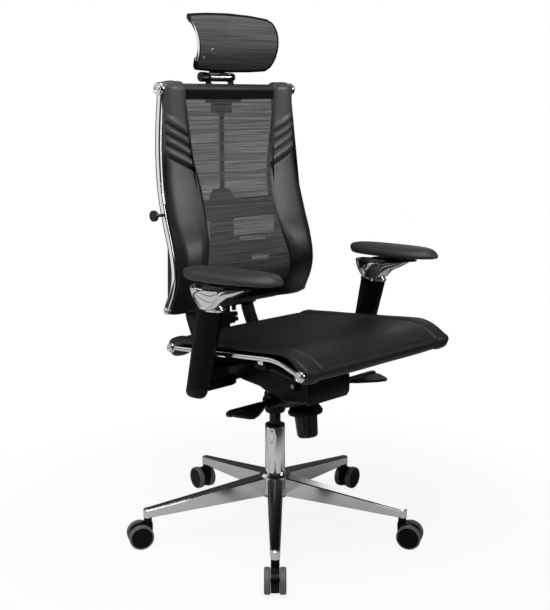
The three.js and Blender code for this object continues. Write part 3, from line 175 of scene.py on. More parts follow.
def level_panel(name, x, y, z, material, camera_sees=False):
    """One level rectangle of the studio, over a range of x and a range of y."""
    mesh = bpy.data.meshes.new(name)
    corners = [(x[0], y[0], z), (x[1], y[0], z), (x[1], y[1], z), (x[0], y[1], z)]
    mesh.from_pydata(corners, [], [(0, 1, 2, 3)])
    mesh.materials.append(material)
    panel = bpy.data.objects.new(name, mesh)
    panel.visible_camera = camera_sees
    scene.collection.objects.link(panel)


level_panel("floor", (-7, 7), (-7, 7), 0, studio_paper(), camera_sees=True)
level_panel("ceiling", (-3, 3), (-3, 3), 3.8, glowing("ceiling_scrim", 0.22))
card = glowing("white_card", 0.5)
for number, reach in enumerate(LEFT_CARDS, 1):
    level_panel(f"left_card_{number}", reach, (-1.3, 1.5), CARD_HEIGHT, card)
level_panel("back_card", (-1.7, 0.2), (1.7, 3.6), CARD_HEIGHT, card)

world = bpy.data.worlds.new("studio")
scene.world = world
world.use_nodes = True
sky = world.node_tree
room = sky.nodes["Background"]
feed(room, {"Color": NIGHT})
mix_shaders(sky, seen_directly(sky), room, new_node(sky, "Background", {"Color": WHITE}), "World Output")

for name, place, aim, size, power, spread in LAMPS:
    data = bpy.data.lights.new(name, "AREA")
    data.shape, data.size, data.energy, data.spread = "SQUARE", size, power, math.radians(spread)
    lamp = bpy.data.objects.new(name, data)
    lamp.location = place
    ahead = np.array(place) - np.array(aim)
    lamp.rotation_euler = (math.atan2(math.hypot(ahead[0], ahead[1]), ahead[2]), 0,
                           math.atan2(ahead[0], -ahead[1]))
    scene.collection.objects.link(lamp)

# Five-star base: one die-cast aluminium part, polished all over. Its five flat-topped legs taper
# from a tall hub, and each tip takes a castor's stem.


def texture_place(tree, scale=(1, 1, 1)):
    """Object coordinates, stretched by a Mapping node."""
    place = new_node(tree, "TexCoord").outputs["Object"]
    return new_node(tree, "Mapping", {"Vector": place, "Scale": scale}).outputs["Vector"]


def noise(tree, place, scale, detail=2):
    """Fractal noise between 0 and 1."""
    made = new_node(tree, "TexNoise", {"Vector": place, "Scale": scale, "Detail": detail})
    return Signal(made.outputs["Fac"])


def scaled_colour(tree, colour, by):
    """A colour times a signal."""
    return new_node(tree, "VectorMath", {0: colour, "Scale": by}, operation="SCALE").outputs["Vector"]


def bumped(tree, shader, height, strength, distance):
    """Let a height signal bend the shader's normal."""
    relief = new_node(tree, "Bump", {"Height": height, "Strength": strength, "Distance": distance})
    feed(shader, {"Normal": relief.outputs["Normal"]})


def new_group(name, inputs, outputs):
    """A shader node group, from (label, socket type, default) inputs and (label, socket type)
    outputs. Gives the group, its input sockets and the node that takes its results."""
    group = bpy.data.node_groups.new(name, "ShaderNodeTree")
    for label, kind, default in inputs:
        socket = group.interface.new_socket(label, in_out="INPUT", socket_type="NodeSocket" + kind)
        if default is not None:
            socket.default_value = default
    for label, kind in outputs:
        group.interface.new_socket(label, in_out="OUTPUT", socket_type="NodeSocket" + kind)
    return group, group.nodes.new("NodeGroupInput").outputs, group.nodes.new("NodeGroupOutput")


# Handling marks: a slow cloudy change of tone and gloss, and a fine grain as a height.
handling, given, result = new_group(
    "handling_marks",
    [("Vector", "Vector", None), ("Color", "Color", (0.5, 0.5, 0.5, 1)), ("Roughness", "Float", 0.4),
     ("Change", "Float", 0.1), ("Size", "Float", 9.0)],
    [("Color", "Color"), ("Roughness", "Float"), ("Height", "Float")])
swing = (noise(handling, given["Vector"], given["Size"], 5) - 0.5) * Signal(given["Change"])
feed(result, {"Color": scaled_colour(handling, given["Color"], swing * 2.0 + 1.0),
              "Roughness": Signal(given["Roughness"]) + swing,
              "Height": noise(handling, given["Vector"], 900, 1)})


def hard_finish(name, colour, roughness, metal=0.0, change=0.1, size=9.0, bump=0.0, specular=0.5):
    """A hard surface: its colour and gloss vary through the handling marks group."""
    material, tree, shader = node_material(name)
    marks = new_node(tree, "Group", {
        "Vector": texture_place(tree), "Color": (*colour, 1), "Roughness": roughness,
        "Change": change, "Size": size}, node_tree=handling).outputs
    feed(shader, {"Base Color": marks["Color"], "Roughness": marks["Roughness"], "Metallic": metal,
                  "Specular IOR Level": specular})
    if bump:
        bumped(tree, shader, marks["Height"], bump, 0.0002)
    return material


WELD_REACH, FLAT_ANGLE = 1e-5, math.radians(0.6)


def dress(material, edge, *names, angle=32):
    """CAD nodes with a finish: welded, their flat faces made whole, and their edges broken where
    they turn by more than the angle."""
    for name in names:
        mesh = node[name].data
        mesh.materials.clear()
        mesh.materials.append(material)
        if "custom_normal" in mesh.attributes:
            mesh.attributes.remove(mesh.attributes["custom_normal"])
        mesh.polygons.foreach_set("use_smooth", np.ones(len(mesh.polygons), bool))
        for label, kind, settings in (
                ("weld", "WELD", {"merge_threshold": WELD_REACH}),
                ("flat_faces", "DECIMATE", {"decimate_type": "DISSOLVE", "angle_limit": FLAT_ANGLE}),
                ("edges", "BEVEL", {"width": edge, "segments": 2, "limit_method": "ANGLE",
                                    "angle_limit": math.radians(angle), "harden_normals": True})):
            modifier = node[name].modifiers.new(label, kind)
            for setting, value in settings.items():
                setattr(modifier, setting, value)


polished_aluminium = hard_finish("polished_aluminium", (0.72, 0.715, 0.70), 0.13, metal=1.0, size=14)
dress(polished_aluminium, 0.0012, "star_base", angle=28)

# Twin-wheel castors: a black hood on a steel stem between two wheels. Each wheel is a grey
# tyre moulded round a black disc with a shallow dish, and turns on the hood's axle.
joint = {j["name"]: j for j in frame["joints"]}
SIDES = (("left", 1), ("right", -1))


def skin(rows, closed=True, ends=True, tags=None):
    """Rows of points as a skin: quads from row to row, round each row if closed, and a fan over
    the first and the last row if ends. Gives points, faces and face tags. Closed skins face out."""
    count, width = rows.shape[:2]
    here = np.arange(count * width).reshape(count, width)
    on = np.roll(here, -1, 1)
    quads = np.stack([here[:-1], on[:-1], on[1:], here[1:]], -1)[:, :width if closed else width - 1]
    tags = np.zeros(count - 1, int) if tags is None else np.asarray(tags, int)
    points, faces, marks = rows.reshape(-1, 3), [quads.reshape(-1, 4)], [np.repeat(tags, quads.shape[1])]
    if ends:
        points = np.vstack([points, rows[0].mean(0), rows[-1].mean(0)])
        faces += [np.stack([np.full(width, here.size), on[0], here[0]], -1),
                  np.stack([np.full(width, here.size + 1), here[-1], on[-1]], -1)]
        marks += [np.full(width, tags[0]), np.full(width, tags[-1])]
        volume = sum(np.einsum("ij,ij->", points[q[:, 0]], np.cross(points[q[:, k]], points[q[:, k + 1]]))
                     for q in faces for k in range(1, q.shape[1] - 1))
        if volume < 0:
            faces = [q[:, ::-1] for q in faces]
    return points, faces, marks


def part(name, skins, materials, body, slot, stands_for=None, sharp=38, uv=None):
    """One object from a list of skins. It rides on a body and stands for the CAD node given.
    uv is an array of two values for each point."""
    starts = np.cumsum([0] + [len(points) for points, _, _ in skins])
    faces = sum(((block + start).tolist() for (_, blocks, _), start in zip(skins, starts)
                 for block in blocks), [])
    tags = np.concatenate([mark for _, _, marks in skins for mark in marks])
    mesh = bpy.data.meshes.new(name)
    mesh.from_pydata(np.vstack([points for points, _, _ in skins]).tolist(), [], faces, shade_flat=False)
    for material in (materials if isinstance(materials, list) else [materials]):
        mesh.materials.append(material)
    mesh.polygons.foreach_set("material_index", tags.astype(np.int32))
    if uv is not None:
        sewn = uv[np.concatenate(faces)]
        mesh.uv_layers.new(name="sewn").data.foreach_set("uv", sewn.astype(np.float32).ravel())
    mesh.validate()
    mesh.set_sharp_from_angle(angle=math.radians(sharp))
    made = bpy.data.objects.new(name, mesh)
    scene.collection.objects.link(made)
    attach(made, body)
    if stands_for:
        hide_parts(stands_for)
    return made


def turned_rows(profile, centre, axis, sides=64):
    """A profile of (radius, distance along the axis), turned about an axis through a centre."""
    axis = np.array(axis, float) / np.linalg.norm(axis)
    side = np.cross(axis, (0.0, 0.0, 1.0) if abs(axis[2]) < 0.9 else (1.0, 0.0, 0.0))
    side /= np.linalg.norm(side)
    up = np.cross(axis, side)
    turn = np.linspace(0, 2 * np.pi, sides, endpoint=False)
    circle = np.cos(turn)[:, None] * side + np.sin(turn)[:, None] * up
    profile = np.asarray(profile, float)
    return np.asarray(centre, float) + profile[:, 1, None, None] * axis + profile[:, 0, None, None] * circle


def bend(start, corner, end, count):
    """Quadratic curve from start to end that leaves and arrives along the lines to corner."""
    t = np.linspace(0, 1, count)[:, None]
    return (1 - t) ** 2 * np.array(start) + 2 * t * (1 - t) * np.array(corner) + t ** 2 * np.array(end)


def rounded(corners, radius, steps=4):
    """A polyline whose inner corners are short curves that start radius before each corner."""
    corners = np.asarray(corners, float)
    line = [corners[0]]
    for before, here, after in zip(corners[:-2], corners[1:-1], corners[2:]):
        back, on = before - here, after - here
        reach = min(radius, 0.45 * np.linalg.norm(back), 0.45 * np.linalg.norm(on))
        line += [*bend(here + back / np.linalg.norm(back) * reach, here,
                       here + on / np.linalg.norm(on) * reach, steps)]
    return np.array([*line, corners[-1]])


AXIS = 0.0001                        # radius at which a turned face closes on its axis
DISC_RADIUS = 0.0256
BLACK = (0.004, 0.004, 0.0042)
castor_black = hard_finish("castor_black", BLACK, 0.30, change=0.08, size=30, bump=0.15, specular=0.1)
castor_tyre = hard_finish("castor_tyre", (0.15, 0.15, 0.153), 0.55, change=0.16, size=60, bump=0.5)
wheel_profile = rounded([(0.0046, -0.0074), (0.0270, -0.0074), (0.0299, -0.0060), (0.0299, 0.0046),
                         (0.0284, 0.0070), (0.0262, 0.0072), (0.0254, 0.0060), (0.0240, 0.0069),
                         (0.0120, 0.0064), (0.0080, 0.0066), (AXIS, 0.0066)], 0.0011)
wheel_tags = (wheel_profile[:-1, 0] > DISC_RADIUS).astype(int)
for i in range(1, 6):
    dress(castor_black, 0.0012, f"castor_{i}_housing")
    for side, sign in SIDES:
        roll = joint[f"castor_{i}_wheel_{side}_roll"]
        rows = turned_rows(wheel_profile, roll["pos_m"], sign * np.array(roll["axis"]))
        part(f"castor_{i}_{side}_tyre_and_disc", [skin(rows, tags=wheel_tags)], [castor_black, castor_tyre],
             f"castor_{i}_wheel_{side}", "castor_tread", f"castor_{i}_wheel_{side}")

# Gas column: a chromed tube pressed into the hub, a black collar in its mouth and the black
# gas cylinder that slides in it.
CHROME_TONE, DARK = (0.80, 0.80, 0.79), (0.005, 0.005, 0.0052)
chrome = hard_finish("chrome", CHROME_TONE, 0.045, metal=1.0, change=0.02, size=12)
collar_black = hard_finish("collar_black", DARK, 0.30, change=0.08, size=30, specular=0.3)
cylinder_black = hard_finish("cylinder_black", BLACK, 0.22, change=0.06, size=30, specular=0.3)


def heights(name):
    """The lowest and the highest point of a CAD node."""
    return (float(corner[2]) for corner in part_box(name))


def column_part(name, profile, edge, material, body, slot, stands_for):
    """A turned part on the column's axis. Its profile is (radius, height)."""
    rows = turned_rows(rounded(profile, edge), (column_x, column_y, 0), (0, 0, 1), 96)
    part(name, [skin(rows)], material, body, slot, stands_for)


low, tube_top = heights("column_tube")
column_part("column_tube_chrome",
            [(AXIS, low), (0.0238, low), (0.0250, 0.152), (0.0250, tube_top), (0.0222, tube_top),
             (0.0222, tube_top - 0.02), (AXIS, tube_top - 0.02)],
            0.0010, chrome, "base", "chrome_tube", "column_tube")
low, high = heights("column_bushing")
column_part("column_collar",
            [(0.0144, low), (0.0215, low), (0.0215, tube_top + 0.0003), (0.0247, tube_top + 0.0003),
             (0.0247, high), (0.0144, high), (0.0144, high - 0.03)],
            0.0008, collar_black, "base", "collar_plastic", "column_bushing")
low, high = heights("gas_cylinder")
column_part("gas_cylinder_body", [(AXIS, low), (0.0140, low), (0.0140, high), (AXIS, high)],
            0.0006, cylinder_black, "lift", "cylinder_steel", "gas_cylinder")

# Tilt mechanism: a cast housing with both shafts in it, black powder coat with a fine orange
# peel, a fluted hand knob under its front, and a moulded lever at each side.
powder_black = hard_finish("powder_black", BLACK, 0.38, size=16, bump=0.5, specular=0.15)
shaft_steel = hard_finish("shaft_steel", (0.30, 0.30, 0.30), 0.30, metal=1.0, size=40)
moulded_black = hard_finish("moulded_black", DARK, 0.32, size=20, bump=0.35, specular=0.35)
dress(powder_black, 0.0022, "tilt_housing")
dress(shaft_steel, 0.0008, "recline_shaft", "seat_shaft")
dress(moulded_black, 0.0009, "tension_knob", angle=20)
dress(moulded_black, 0.0016, "height_lever", "tilt_lever")
dress(powder_black, 0.0014, "seat_carrier")
dress(shaft_steel, 0.0006, "seat_front_bar", "seat_rear_bar")

# Seat rails: a flat chromed bar at each side that kinks down to the front. A round cap with a
# hollow-head screw closes it over each crossbar, and two lugs hold it on the carrier.
RAIL_DEPTH, RAIL_WIDTH, SEAT_HALF = 0.010, 0.006, 0.238
SEAT_FRONT_BAR, SEAT_REAR_BAR, RAIL_BEND = (-0.326, 0.201), (0.099, 0.186), (-0.254, 0.222)
REAR_RUN, FRONT_RUN, BEND_REACH = 0.3548, 0.0750, 0.030     # from the bend to each bar, and its size
SEAT_CAP, LUG_PLACES, LUG_HANG = (0.0119, 0.0098), (-0.208, -0.008), 0.0078
TOUCH = 0.0003                       # left between parts that touch
HOUSING_BASE = float(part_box("tilt_housing")[0][2])


def from_column(points):
    """Points measured from the column's axis and the underside of the tilt housing."""
    return np.asarray(points, float) + np.array([column_x, column_y, HOUSING_BASE])


def superellipse(half_u, half_v, power, count, power_v=None):
    """Points (u, v) with |u / half_u|^power + |v / half_v|^power_v = 1."""
    a = np.linspace(0, 2 * np.pi, count, endpoint=False)
    wave = lambda w, p: np.sign(w) * np.abs(w) ** (2 / p)
    return np.stack([half_u * wave(np.cos(a), power), half_v * wave(np.sin(a), power_v or power)], -1)


def column_skins(*groups):
    """Skins from groups of rows that are measured from the column."""
    return [skin(from_column(rows)) for rows in groups]


def side_bar(line, half_depth, half_width, x_at):
    """Rows of a flat bar along a line of (y, z): its depth stands square to the line, and its
    width lies along x about x_at(z)."""
    ahead = np.gradient(line, axis=0)
    ahead /= np.linalg.norm(ahead, axis=1)[:, None]
    across = np.stack([-ahead[:, 1], ahead[:, 0]], -1)
    section = superellipse(half_width, half_depth, 3.2, 28)
    yz = line[:, None] + across[:, None] * section[:, 1, None]
    return np.concatenate([(section[:, 0] + x_at(line[:, 1])[:, None])[..., None], yz], -1)


def cap_rows(y, z, x0, radius, thickness, side, head=0.0062):
    """A round cap on a bar's end: a stepped disc with a screw head and its hollow."""
    profile = rounded([(AXIS, -0.0004), (radius, -0.0004), (radius, thickness * 0.55),
                       (radius - 0.0015, thickness * 0.62), (radius - 0.0018, thickness),
                       (head + 0.0016, thickness), (head + 0.0010, thickness - 0.0011),
                       (head, thickness - 0.0009), (head - 0.0008, thickness + 0.0002),
                       (0.0030, thickness + 0.0003), (0.0027, thickness - 0.0016),
                       (AXIS, thickness - 0.0017)], 0.0006, 3)
    return turned_rows(profile, (x0, y, z), (side, 0, 0), 40)


def upright(outline, levels):
    """Rows of an upright block: one outline of (x, y), and for each level its height and its scale
    about the middle."""
    middle = outline.mean(0)
    return np.array([np.column_stack([middle + (outline - middle) * grow, np.full(len(outline), z)])
                     for z, grow in levels])


bend_start, bend_end = (RAIL_BEND + BEND_REACH / run * (np.array(bar) - RAIL_BEND)
                        for bar, run in ((SEAT_REAR_BAR, REAR_RUN), (SEAT_FRONT_BAR, FRONT_RUN)))
seat_rail_line = np.vstack([np.linspace(SEAT_REAR_BAR, bend_start, 24)[:-1],
                            bend(bend_start, RAIL_BEND, bend_end, 16),
                            np.linspace(bend_end, SEAT_FRONT_BAR, 8)[1:]])
for side, sign in SIDES:
    face = sign * (SEAT_HALF + TOUCH)
    middle = sign * (SEAT_HALF + TOUCH + RAIL_WIDTH / 2)
    groups = [side_bar(seat_rail_line, RAIL_DEPTH / 2, RAIL_WIDTH / 2, lambda z: np.full(len(z), middle))]
    groups += [cap_rows(*bar, face, *SEAT_CAP, sign) for bar in (SEAT_REAR_BAR, SEAT_FRONT_BAR)]
    for y in LUG_PLACES:
        rise = (y - RAIL_BEND[0]) / (SEAT_REAR_BAR[0] - RAIL_BEND[0])
        low = RAIL_BEND[1] + rise * (SEAT_REAR_BAR[1] - RAIL_BEND[1]) - RAIL_DEPTH / 2 - LUG_HANG
        lug = superellipse(RAIL_WIDTH / 2, 0.0088, 6, 24) + (middle, y)
        groups.append(upright(lug, [(low, 0.9), (low + 0.0006, 1), (low + 0.009, 1), (low + 0.011, 0.9)]))
    part(f"seat_rail_{side}_chrome", column_skins(*groups), chrome, "seat", "frame_chrome",
         f"seat_rail_{side}")

# Seat: a padded sling that rolls round the front and the rear crossbar. A smooth leather strip
# is sewn along each side of a centre of perforated leather.
SEAT_THICK, FRONT_ROLL, REAR_ROLL = 0.016, 0.0185, 0.0210
SEAT_BEND, SIDE_SEAM, SEAT_EDGE, SEAT_EDGE_DEPTH = (-0.250, 0.241), 0.193, 0.0060, 0.0062
SEAM_DEPTH, SEAM_WIDTH, SEAT_CROWN, BORDER_SWELL, DIMPLE = 0.0026, 0.0030, 0.0012, 0.0030, 0.0005


def smooth_loop(values, times):
    """Each point of a closed line moved to the mean of itself and its neighbours, several times."""
    for _ in range(times):
        values = 0.5 * values + 0.25 * (np.roll(values, 1, 0) + np.roll(values, -1, 0))
    return values


def sling_outline(pieces, spine_smoothing, count):
    """A closed outline, its spine and the distance along it, smoothed and taken at equal steps.
    Each piece is a line of (y, z) and its spine, which is one point for a roll."""
    outline = smooth_loop(np.vstack([line for line, _ in pieces]), 3)
    spine = smooth_loop(np.vstack([np.broadcast_to(middle, line.shape) for line, middle in pieces]),
                        spine_smoothing)
    both = np.hstack([outline, spine])
    both = np.vstack([both, both[:1]])
    along = np.concatenate([[0], np.cumsum(np.linalg.norm(np.diff(both[:, :2], axis=0), axis=1))])
    at = np.linspace(0, along[-1], count, endpoint=False)
    taken = np.stack([np.interp(at, along, values) for values in both.T], -1)
    return taken[:, :2], taken[:, 2:], at


def arc(centre, radius, start, stop, count):
    """Points (y, z) round a centre. Angles are in degrees from +y towards +z."""
    a = np.radians(np.linspace(start, stop, count))
    return np.stack([centre[0] + radius * np.cos(a), centre[1] + radius * np.sin(a)], -1)


def cushion_rows(outline, spine, along, inner, outer, edges, depth, dent, stations):
    """A stuffed sling: a closed (y, z) outline carried across from x = inner(z) to x = outer(z).
    At each side it draws in to its spine by depth, over a quarter ellipse as wide as edges gives
    for the inner and the outer side, and a row on the spine closes it. dent(x, y, z) moves each
    point outwards, square to the spine. Gives the rows and their UV: across, and along."""
    turn = np.linspace(0, np.pi / 2, 14)
    x_in, x_out = inner(outline[:, 1]), outer(outline[:, 1])
    width = np.abs(x_out - x_in)
    first, last = (edge * (1 - np.cos(turn)) for edge in edges)
    draw = depth * (1 - np.sin(turn))
    share = np.linspace(0, 1, stations)[:, None]
    from_in = np.vstack([np.repeat(first[:-1, None], len(outline), 1),
                         first[-1] + share * (width - first[-1] - last[-1]),
                         width - last[:-1, None][::-1]])
    inset = np.concatenate([draw[:-1], np.zeros(stations), draw[:-1][::-1]])[:, None]
    x = x_in + np.sign(x_out - x_in) * from_in
    arm = outline - spine
    length = np.linalg.norm(arm, axis=1)
    away_y, away_z = (arm / length[:, None]).T
    reach = length - inset
    y, z = spine[:, 0] + away_y * reach, spine[:, 1] + away_z * reach
    lift = dent(x, y, z) * np.clip(1 - inset / depth, 0, 1)
    rows = np.stack([x, y + away_y * lift, z + away_z * lift], -1)
    uv = np.stack([x, np.broadcast_to(along, x.shape)], -1)
    close = lambda row: np.column_stack([row[:, 0], spine])[None]
    return (np.concatenate([close(rows[0]), rows, close(rows[-1])]),
            np.concatenate([uv[:1], uv, uv[-1:]]))


def cushion(name, rows, uv, *about):
    """A stuffed piece. Its UV also covers the two points that close its sides."""
    ends = uv[[0, -1]].mean(1)
    part(name, column_skins(rows), *about, uv=np.vstack([uv.reshape(-1, 2), ends]))


# Leather: a voronoi grain of fine pores with soft creases, a tone that drifts, and a gloss that
# follows the grain.
grain, given, result = new_group(
    "leather_grain", [("Vector", "Vector", None), ("Size", "Float", 700.0)],
    [("Height", "Float"), ("Tone", "Float")])
pores = new_node(grain, "TexVoronoi", {"Vector": given["Vector"], "Scale": given["Size"]},
                 feature="DISTANCE_TO_EDGE")
creases, drift = noise(grain, given["Vector"], 60, 6), noise(grain, given["Vector"], 7)
feed(result, {"Height": math_node("MINIMUM", Signal(pores.outputs["Distance"]) * 5.0, 1.0) + creases * 0.8,
              "Tone": drift * 0.40 + 0.80})

# Punched holes on a staggered square grid, as a mask that is 1 in a hole.
punched, given, result = new_group(
    "punched_holes", [("Across", "Float", None), ("Along", "Float", None), ("Pitch", "Float", 0.004),
                      ("Hole", "Float", 0.2)], [("Mask", "Float")])
hole_masks = []
for shift in (0.0, 0.5):
    cells = [math_node("DIVIDE", Signal(given[axis]), Signal(given["Pitch"])) for axis in ("Across", "Along")]
    across, along = (math_node("FRACT", cell + shift) - 0.5 for cell in cells)
    far = math_node("SQRT", across * across + along * along)
    hole_masks.append(math_node("LESS_THAN", far, Signal(given["Hole"])))
feed(result, {"Mask": math_node("MAXIMUM", *hole_masks)})

HOLE_SHADE, HOLE_DEPTH = 0.8, 3.0
STITCH_PITCH, STITCH_SHARE, STITCH_AWAY, THREAD_HALF = 0.0042, 0.72, 0.0028, 0.00045
THREAD_TONE, THREAD_RISE = 1.4, 2.0


def leather(name, colour, roughness, depth=0.35, size=700, punched_zone=None, pitch=0.004, hole=0.2, seams=(),
            lift=0.0, specular=0.5):
    """Black leather. punched_zone(across, along) is a mask of where it is perforated, lift is how
    much paler it is there, and seams are the places across that are sewn, with stitches beside
    each."""
    material, tree, shader = node_material(name)
    place = texture_place(tree)
    skin_grain = new_node(tree, "Group", {"Vector": place, "Size": size}, node_tree=grain).outputs
    tone, height = Signal(skin_grain["Tone"]), Signal(skin_grain["Height"])
    gloss = height * -0.05 + (roughness + 0.07)
    if punched_zone or seams:
        layer = new_node(tree, "UVMap", uv_map="sewn").outputs["UV"]
        split = new_node(tree, "SeparateXYZ", {"Vector": layer}).outputs
        across, along = Signal(split["X"]), Signal(split["Y"])
    if punched_zone:
        holes = new_node(tree, "Group", {"Across": across, "Along": along, "Pitch": pitch, "Hole": hole},
                         node_tree=punched).outputs
        zone = punched_zone(across, along)
        mask = Signal(holes["Mask"]) * zone
        tone = tone * (mask * -HOLE_SHADE + 1.0) * (zone * lift + 1.0)
        height = height - mask * HOLE_DEPTH
    if seams:
        lines = [math_node("LESS_THAN", abs(abs(across) - (seam + offset)), THREAD_HALF)
                 for seam in seams for offset in (-STITCH_AWAY, STITCH_AWAY)]
        stitch = math_node("FRACT", math_node("DIVIDE", along, STITCH_PITCH))
        thread = math_node("MAXIMUM", *lines) * math_node("LESS_THAN", stitch, STITCH_SHARE)
        tone = tone + thread * THREAD_TONE
        height = height + thread * THREAD_RISE
    feed(shader, {"Base Color": scaled_colour(tree, colour, tone), "Roughness": gloss,
                  "Specular IOR Level": specular})
    bumped(tree, shader, height, depth, 0.00035)
    return material


def seat_outline():
    """The seat's outline: over the top from the rear roll to the bend, down the lip, round the
    front roll, back underneath, and round the rear roll."""
    thick = np.array([0, SEAT_THICK])
    lip = bend(SEAT_BEND, (SEAT_BEND[0] + 0.55 * (SEAT_FRONT_BAR[0] - SEAT_BEND[0]), SEAT_BEND[1] + 0.005),
               (SEAT_FRONT_BAR[0] - 0.005, SEAT_FRONT_BAR[1] + FRONT_ROLL - 0.001), 30)
    flat = np.linspace((SEAT_REAR_BAR[0], SEAT_REAR_BAR[1] + REAR_ROLL - 0.001), SEAT_BEND, 90)
    over = np.vstack([flat[:-1], lip[:-4]])
    under = np.vstack([flat[:-1], lip[:-9]])[::-1] - thick
    under = under[(under[:, 0] > SEAT_FRONT_BAR[0] + 0.030) & (under[:, 0] < SEAT_REAR_BAR[0] - 0.034)]
    front, rear = arc(SEAT_FRONT_BAR, FRONT_ROLL, 108, 368, 46), arc(SEAT_REAR_BAR, REAR_ROLL, 200, 446, 50)
    return sling_outline([(over, over - thick / 2), (front, SEAT_FRONT_BAR), (under, under + thick / 2),
                          (rear, SEAT_REAR_BAR)], 12, 300)


def seat_dent(x, y, z):
    """Outward move: a parabola between the seams, a bell-shaped groove at each seam, a parabola
    over the fuller border outside it, and slow dimples as a product of sines."""
    groove = -SEAM_DEPTH * np.exp(-((np.abs(x) - SIDE_SEAM) / SEAM_WIDTH) ** 2)
    crown = SEAT_CROWN * np.clip(1 - (np.abs(x) / SIDE_SEAM) ** 2, 0, 1)
    border = (SEAT_HALF - SIDE_SEAM) / 2
    ridge = BORDER_SWELL * np.clip(1 - ((np.abs(x) - SIDE_SEAM - border) / border) ** 2, 0, 1)
    slow = DIMPLE * np.sin(x * 31 + 1.7 * np.sin(y * 17)) * np.sin(y * 23 + 0.6)
    return groove + crown + ridge + slow - 0.0006


def centre_of_seat(across, along):
    """Mask of where the seat is perforated: between the seams."""
    return math_node("LESS_THAN", abs(across), SIDE_SEAM - 0.006)


seat_leather = leather("seat_leather", (0.014, 0.014, 0.0143), 0.40, punched_zone=centre_of_seat,
                       seams=(SIDE_SEAM,), specular=0.38)
to_side = lambda side: lambda z: np.full(len(z), side * (SEAT_HALF - TOUCH))
rows, uv = cushion_rows(*seat_outline(), to_side(-1), to_side(1), (SEAT_EDGE, SEAT_EDGE), SEAT_EDGE_DEPTH,
                        seat_dent, 120)
cushion("seat_cushion", rows, uv, seat_leather, "seat", "seat_leather", "seat_sling")

# Arms: a black sleeve slides on a post on each carrier foot. On the sleeve stands a chromed
# bracket: an open cup that runs forward into a hollow nose under the pad.
SLEEVE_BASE, SLEEVE_TOP, ARM_SPAN, FOOT_BACK, FOOT_BOTTOM = 0.1263, 0.3063, 0.274, -0.028, 0.104
SLEEVE_HALF, SLEEVE_GROWTH = np.array([0.029, 0.017]), np.array([0.0085, 0.002])     # along, across
BRACKET_BASE = SLEEVE_TOP + TOUCH
BRACKET_RIM = BRACKET_BASE + 0.052
CUP_HALF, CUP_GROWTH, CUP_SHIFT = np.array([0.0290, 0.015]), np.array([0.0220, 0.013]), 0.0045
PAD_MIDDLE = (-0.149, 0.3664)
PAD_SLOPE, ARM_TURN, ARM_LEAN = 3.2, -4.0, 14.0                                      # in degrees
SLEEVE_EDGE = ((0, -0.0016), (0.0006, -0.0004), (0.0022, 0))                         # up, outwards
COLLAR = ((0, -0.0010), (0.0004, 0.0002), (0.0014, 0.0014), (0.0058, 0.0014), (0.0066, 0.0004),
          (0.0090, -0.0015))
NOSE = (                             # ahead of the post, half width, belly over the base, top below the deck
    (0.004, 0.0200, 0.003, 0.045), (0.0204, 0.0216, 0.004, 0.038), (0.0357, 0.0228, 0.012, 0.022),
    (0.047, 0.0226, 0.024, 0.002), (0.062, 0.0212, 0.034, 0.0), (0.0816, 0.019, 0.041, 0.0))
NOSE_TIP, NOSE_TIP_HALF, NOSE_TIP_DEPTH = -0.1900, 0.0125, 0.0055
PAD_HALF, PAD_LOW, PAD_HIGH = (0.050, 0.140), 0.0066, 0.0330
PAD_LAYERS = (                       # height, inset
    (PAD_LOW, 0.030), (PAD_LOW, 0.012), (0.0072, 0.0065), (0.0086, 0.0035), (0.0110, 0.0014), (0.0150, 0.0),
    (0.0190, 0.0005), (0.0225, 0.0022), (0.0258, 0.0058), (0.0284, 0.011), (0.0302, 0.0165), (0.0316, 0.024),
    (0.0325, 0.033), (PAD_HIGH, 0.043))
PAD_TAPER, PAD_REACH, PAD_TWIST, PAD_CLEAR, PAD_TILT = 0.16, 0.004, 0.0055, 0.0058, 0.0022
PLATE_HALF, PLATE_LAYERS = (0.0165, 0.070), ((0.0004, 0.001), (0.0010, 0.0), (0.0034, 0.0), (0.0040, 0.001))
sleeve_black = hard_finish("sleeve_black", (0.0028, 0.0028, 0.0030), 0.36, size=14, bump=0.35, specular=0.1)
bracket_chrome = hard_finish("bracket_chrome", CHROME_TONE, 0.05, metal=1.0, change=0.03, size=20)
# The cup's inside takes a darker, rougher metal than the chrome: painted shade inside the cup.
bracket_inside = hard_finish("bracket_inside", (0.30, 0.30, 0.30), 0.32, metal=1.0, change=0.08, size=30)
arm_leather = leather("arm_leather", (0.038, 0.038, 0.039), 0.38, depth=0.3, size=900)


def arm_ring(half_length, half_width, y, z, power, count):
    """One level of an oval part of the left arm: a superellipse about ARM_SPAN and y, at height z."""
    ring = superellipse(half_width, half_length, power, count)
    return np.column_stack([ARM_SPAN + ring[:, 0], y + ring[:, 1], np.full(count, z)])


def post_y(z):
    """Where the leaning post's middle lies at a height: FOOT_BACK at the underside of its foot."""
    return FOOT_BACK - math.tan(math.radians(ARM_LEAN)) * (z - FOOT_BOTTOM)


def post_ring(z, half):
    """One level of an oval about the leaning post, from its half length and half width."""
    return arm_ring(*half, post_y(z), z, 2.3, 72)


def sleeve_rows():
    """The sleeve: an oval tube whose half sizes grow evenly with height, with both edges broken."""
    levels = [(SLEEVE_BASE + up, out) for up, out in SLEEVE_EDGE]
    levels += [(z, 0) for z in np.linspace(SLEEVE_BASE + 0.006, SLEEVE_TOP - 0.005, 20)]
    levels += [(SLEEVE_TOP - 0.0022, 0), (SLEEVE_TOP - 0.0006, -0.0005), (SLEEVE_TOP, -0.0018)]
    share = lambda z: (z - SLEEVE_BASE) / (SLEEVE_TOP - SLEEVE_BASE)
    return np.array([post_ring(z, SLEEVE_HALF + share(z) * SLEEVE_GROWTH + out) for z, out in levels])


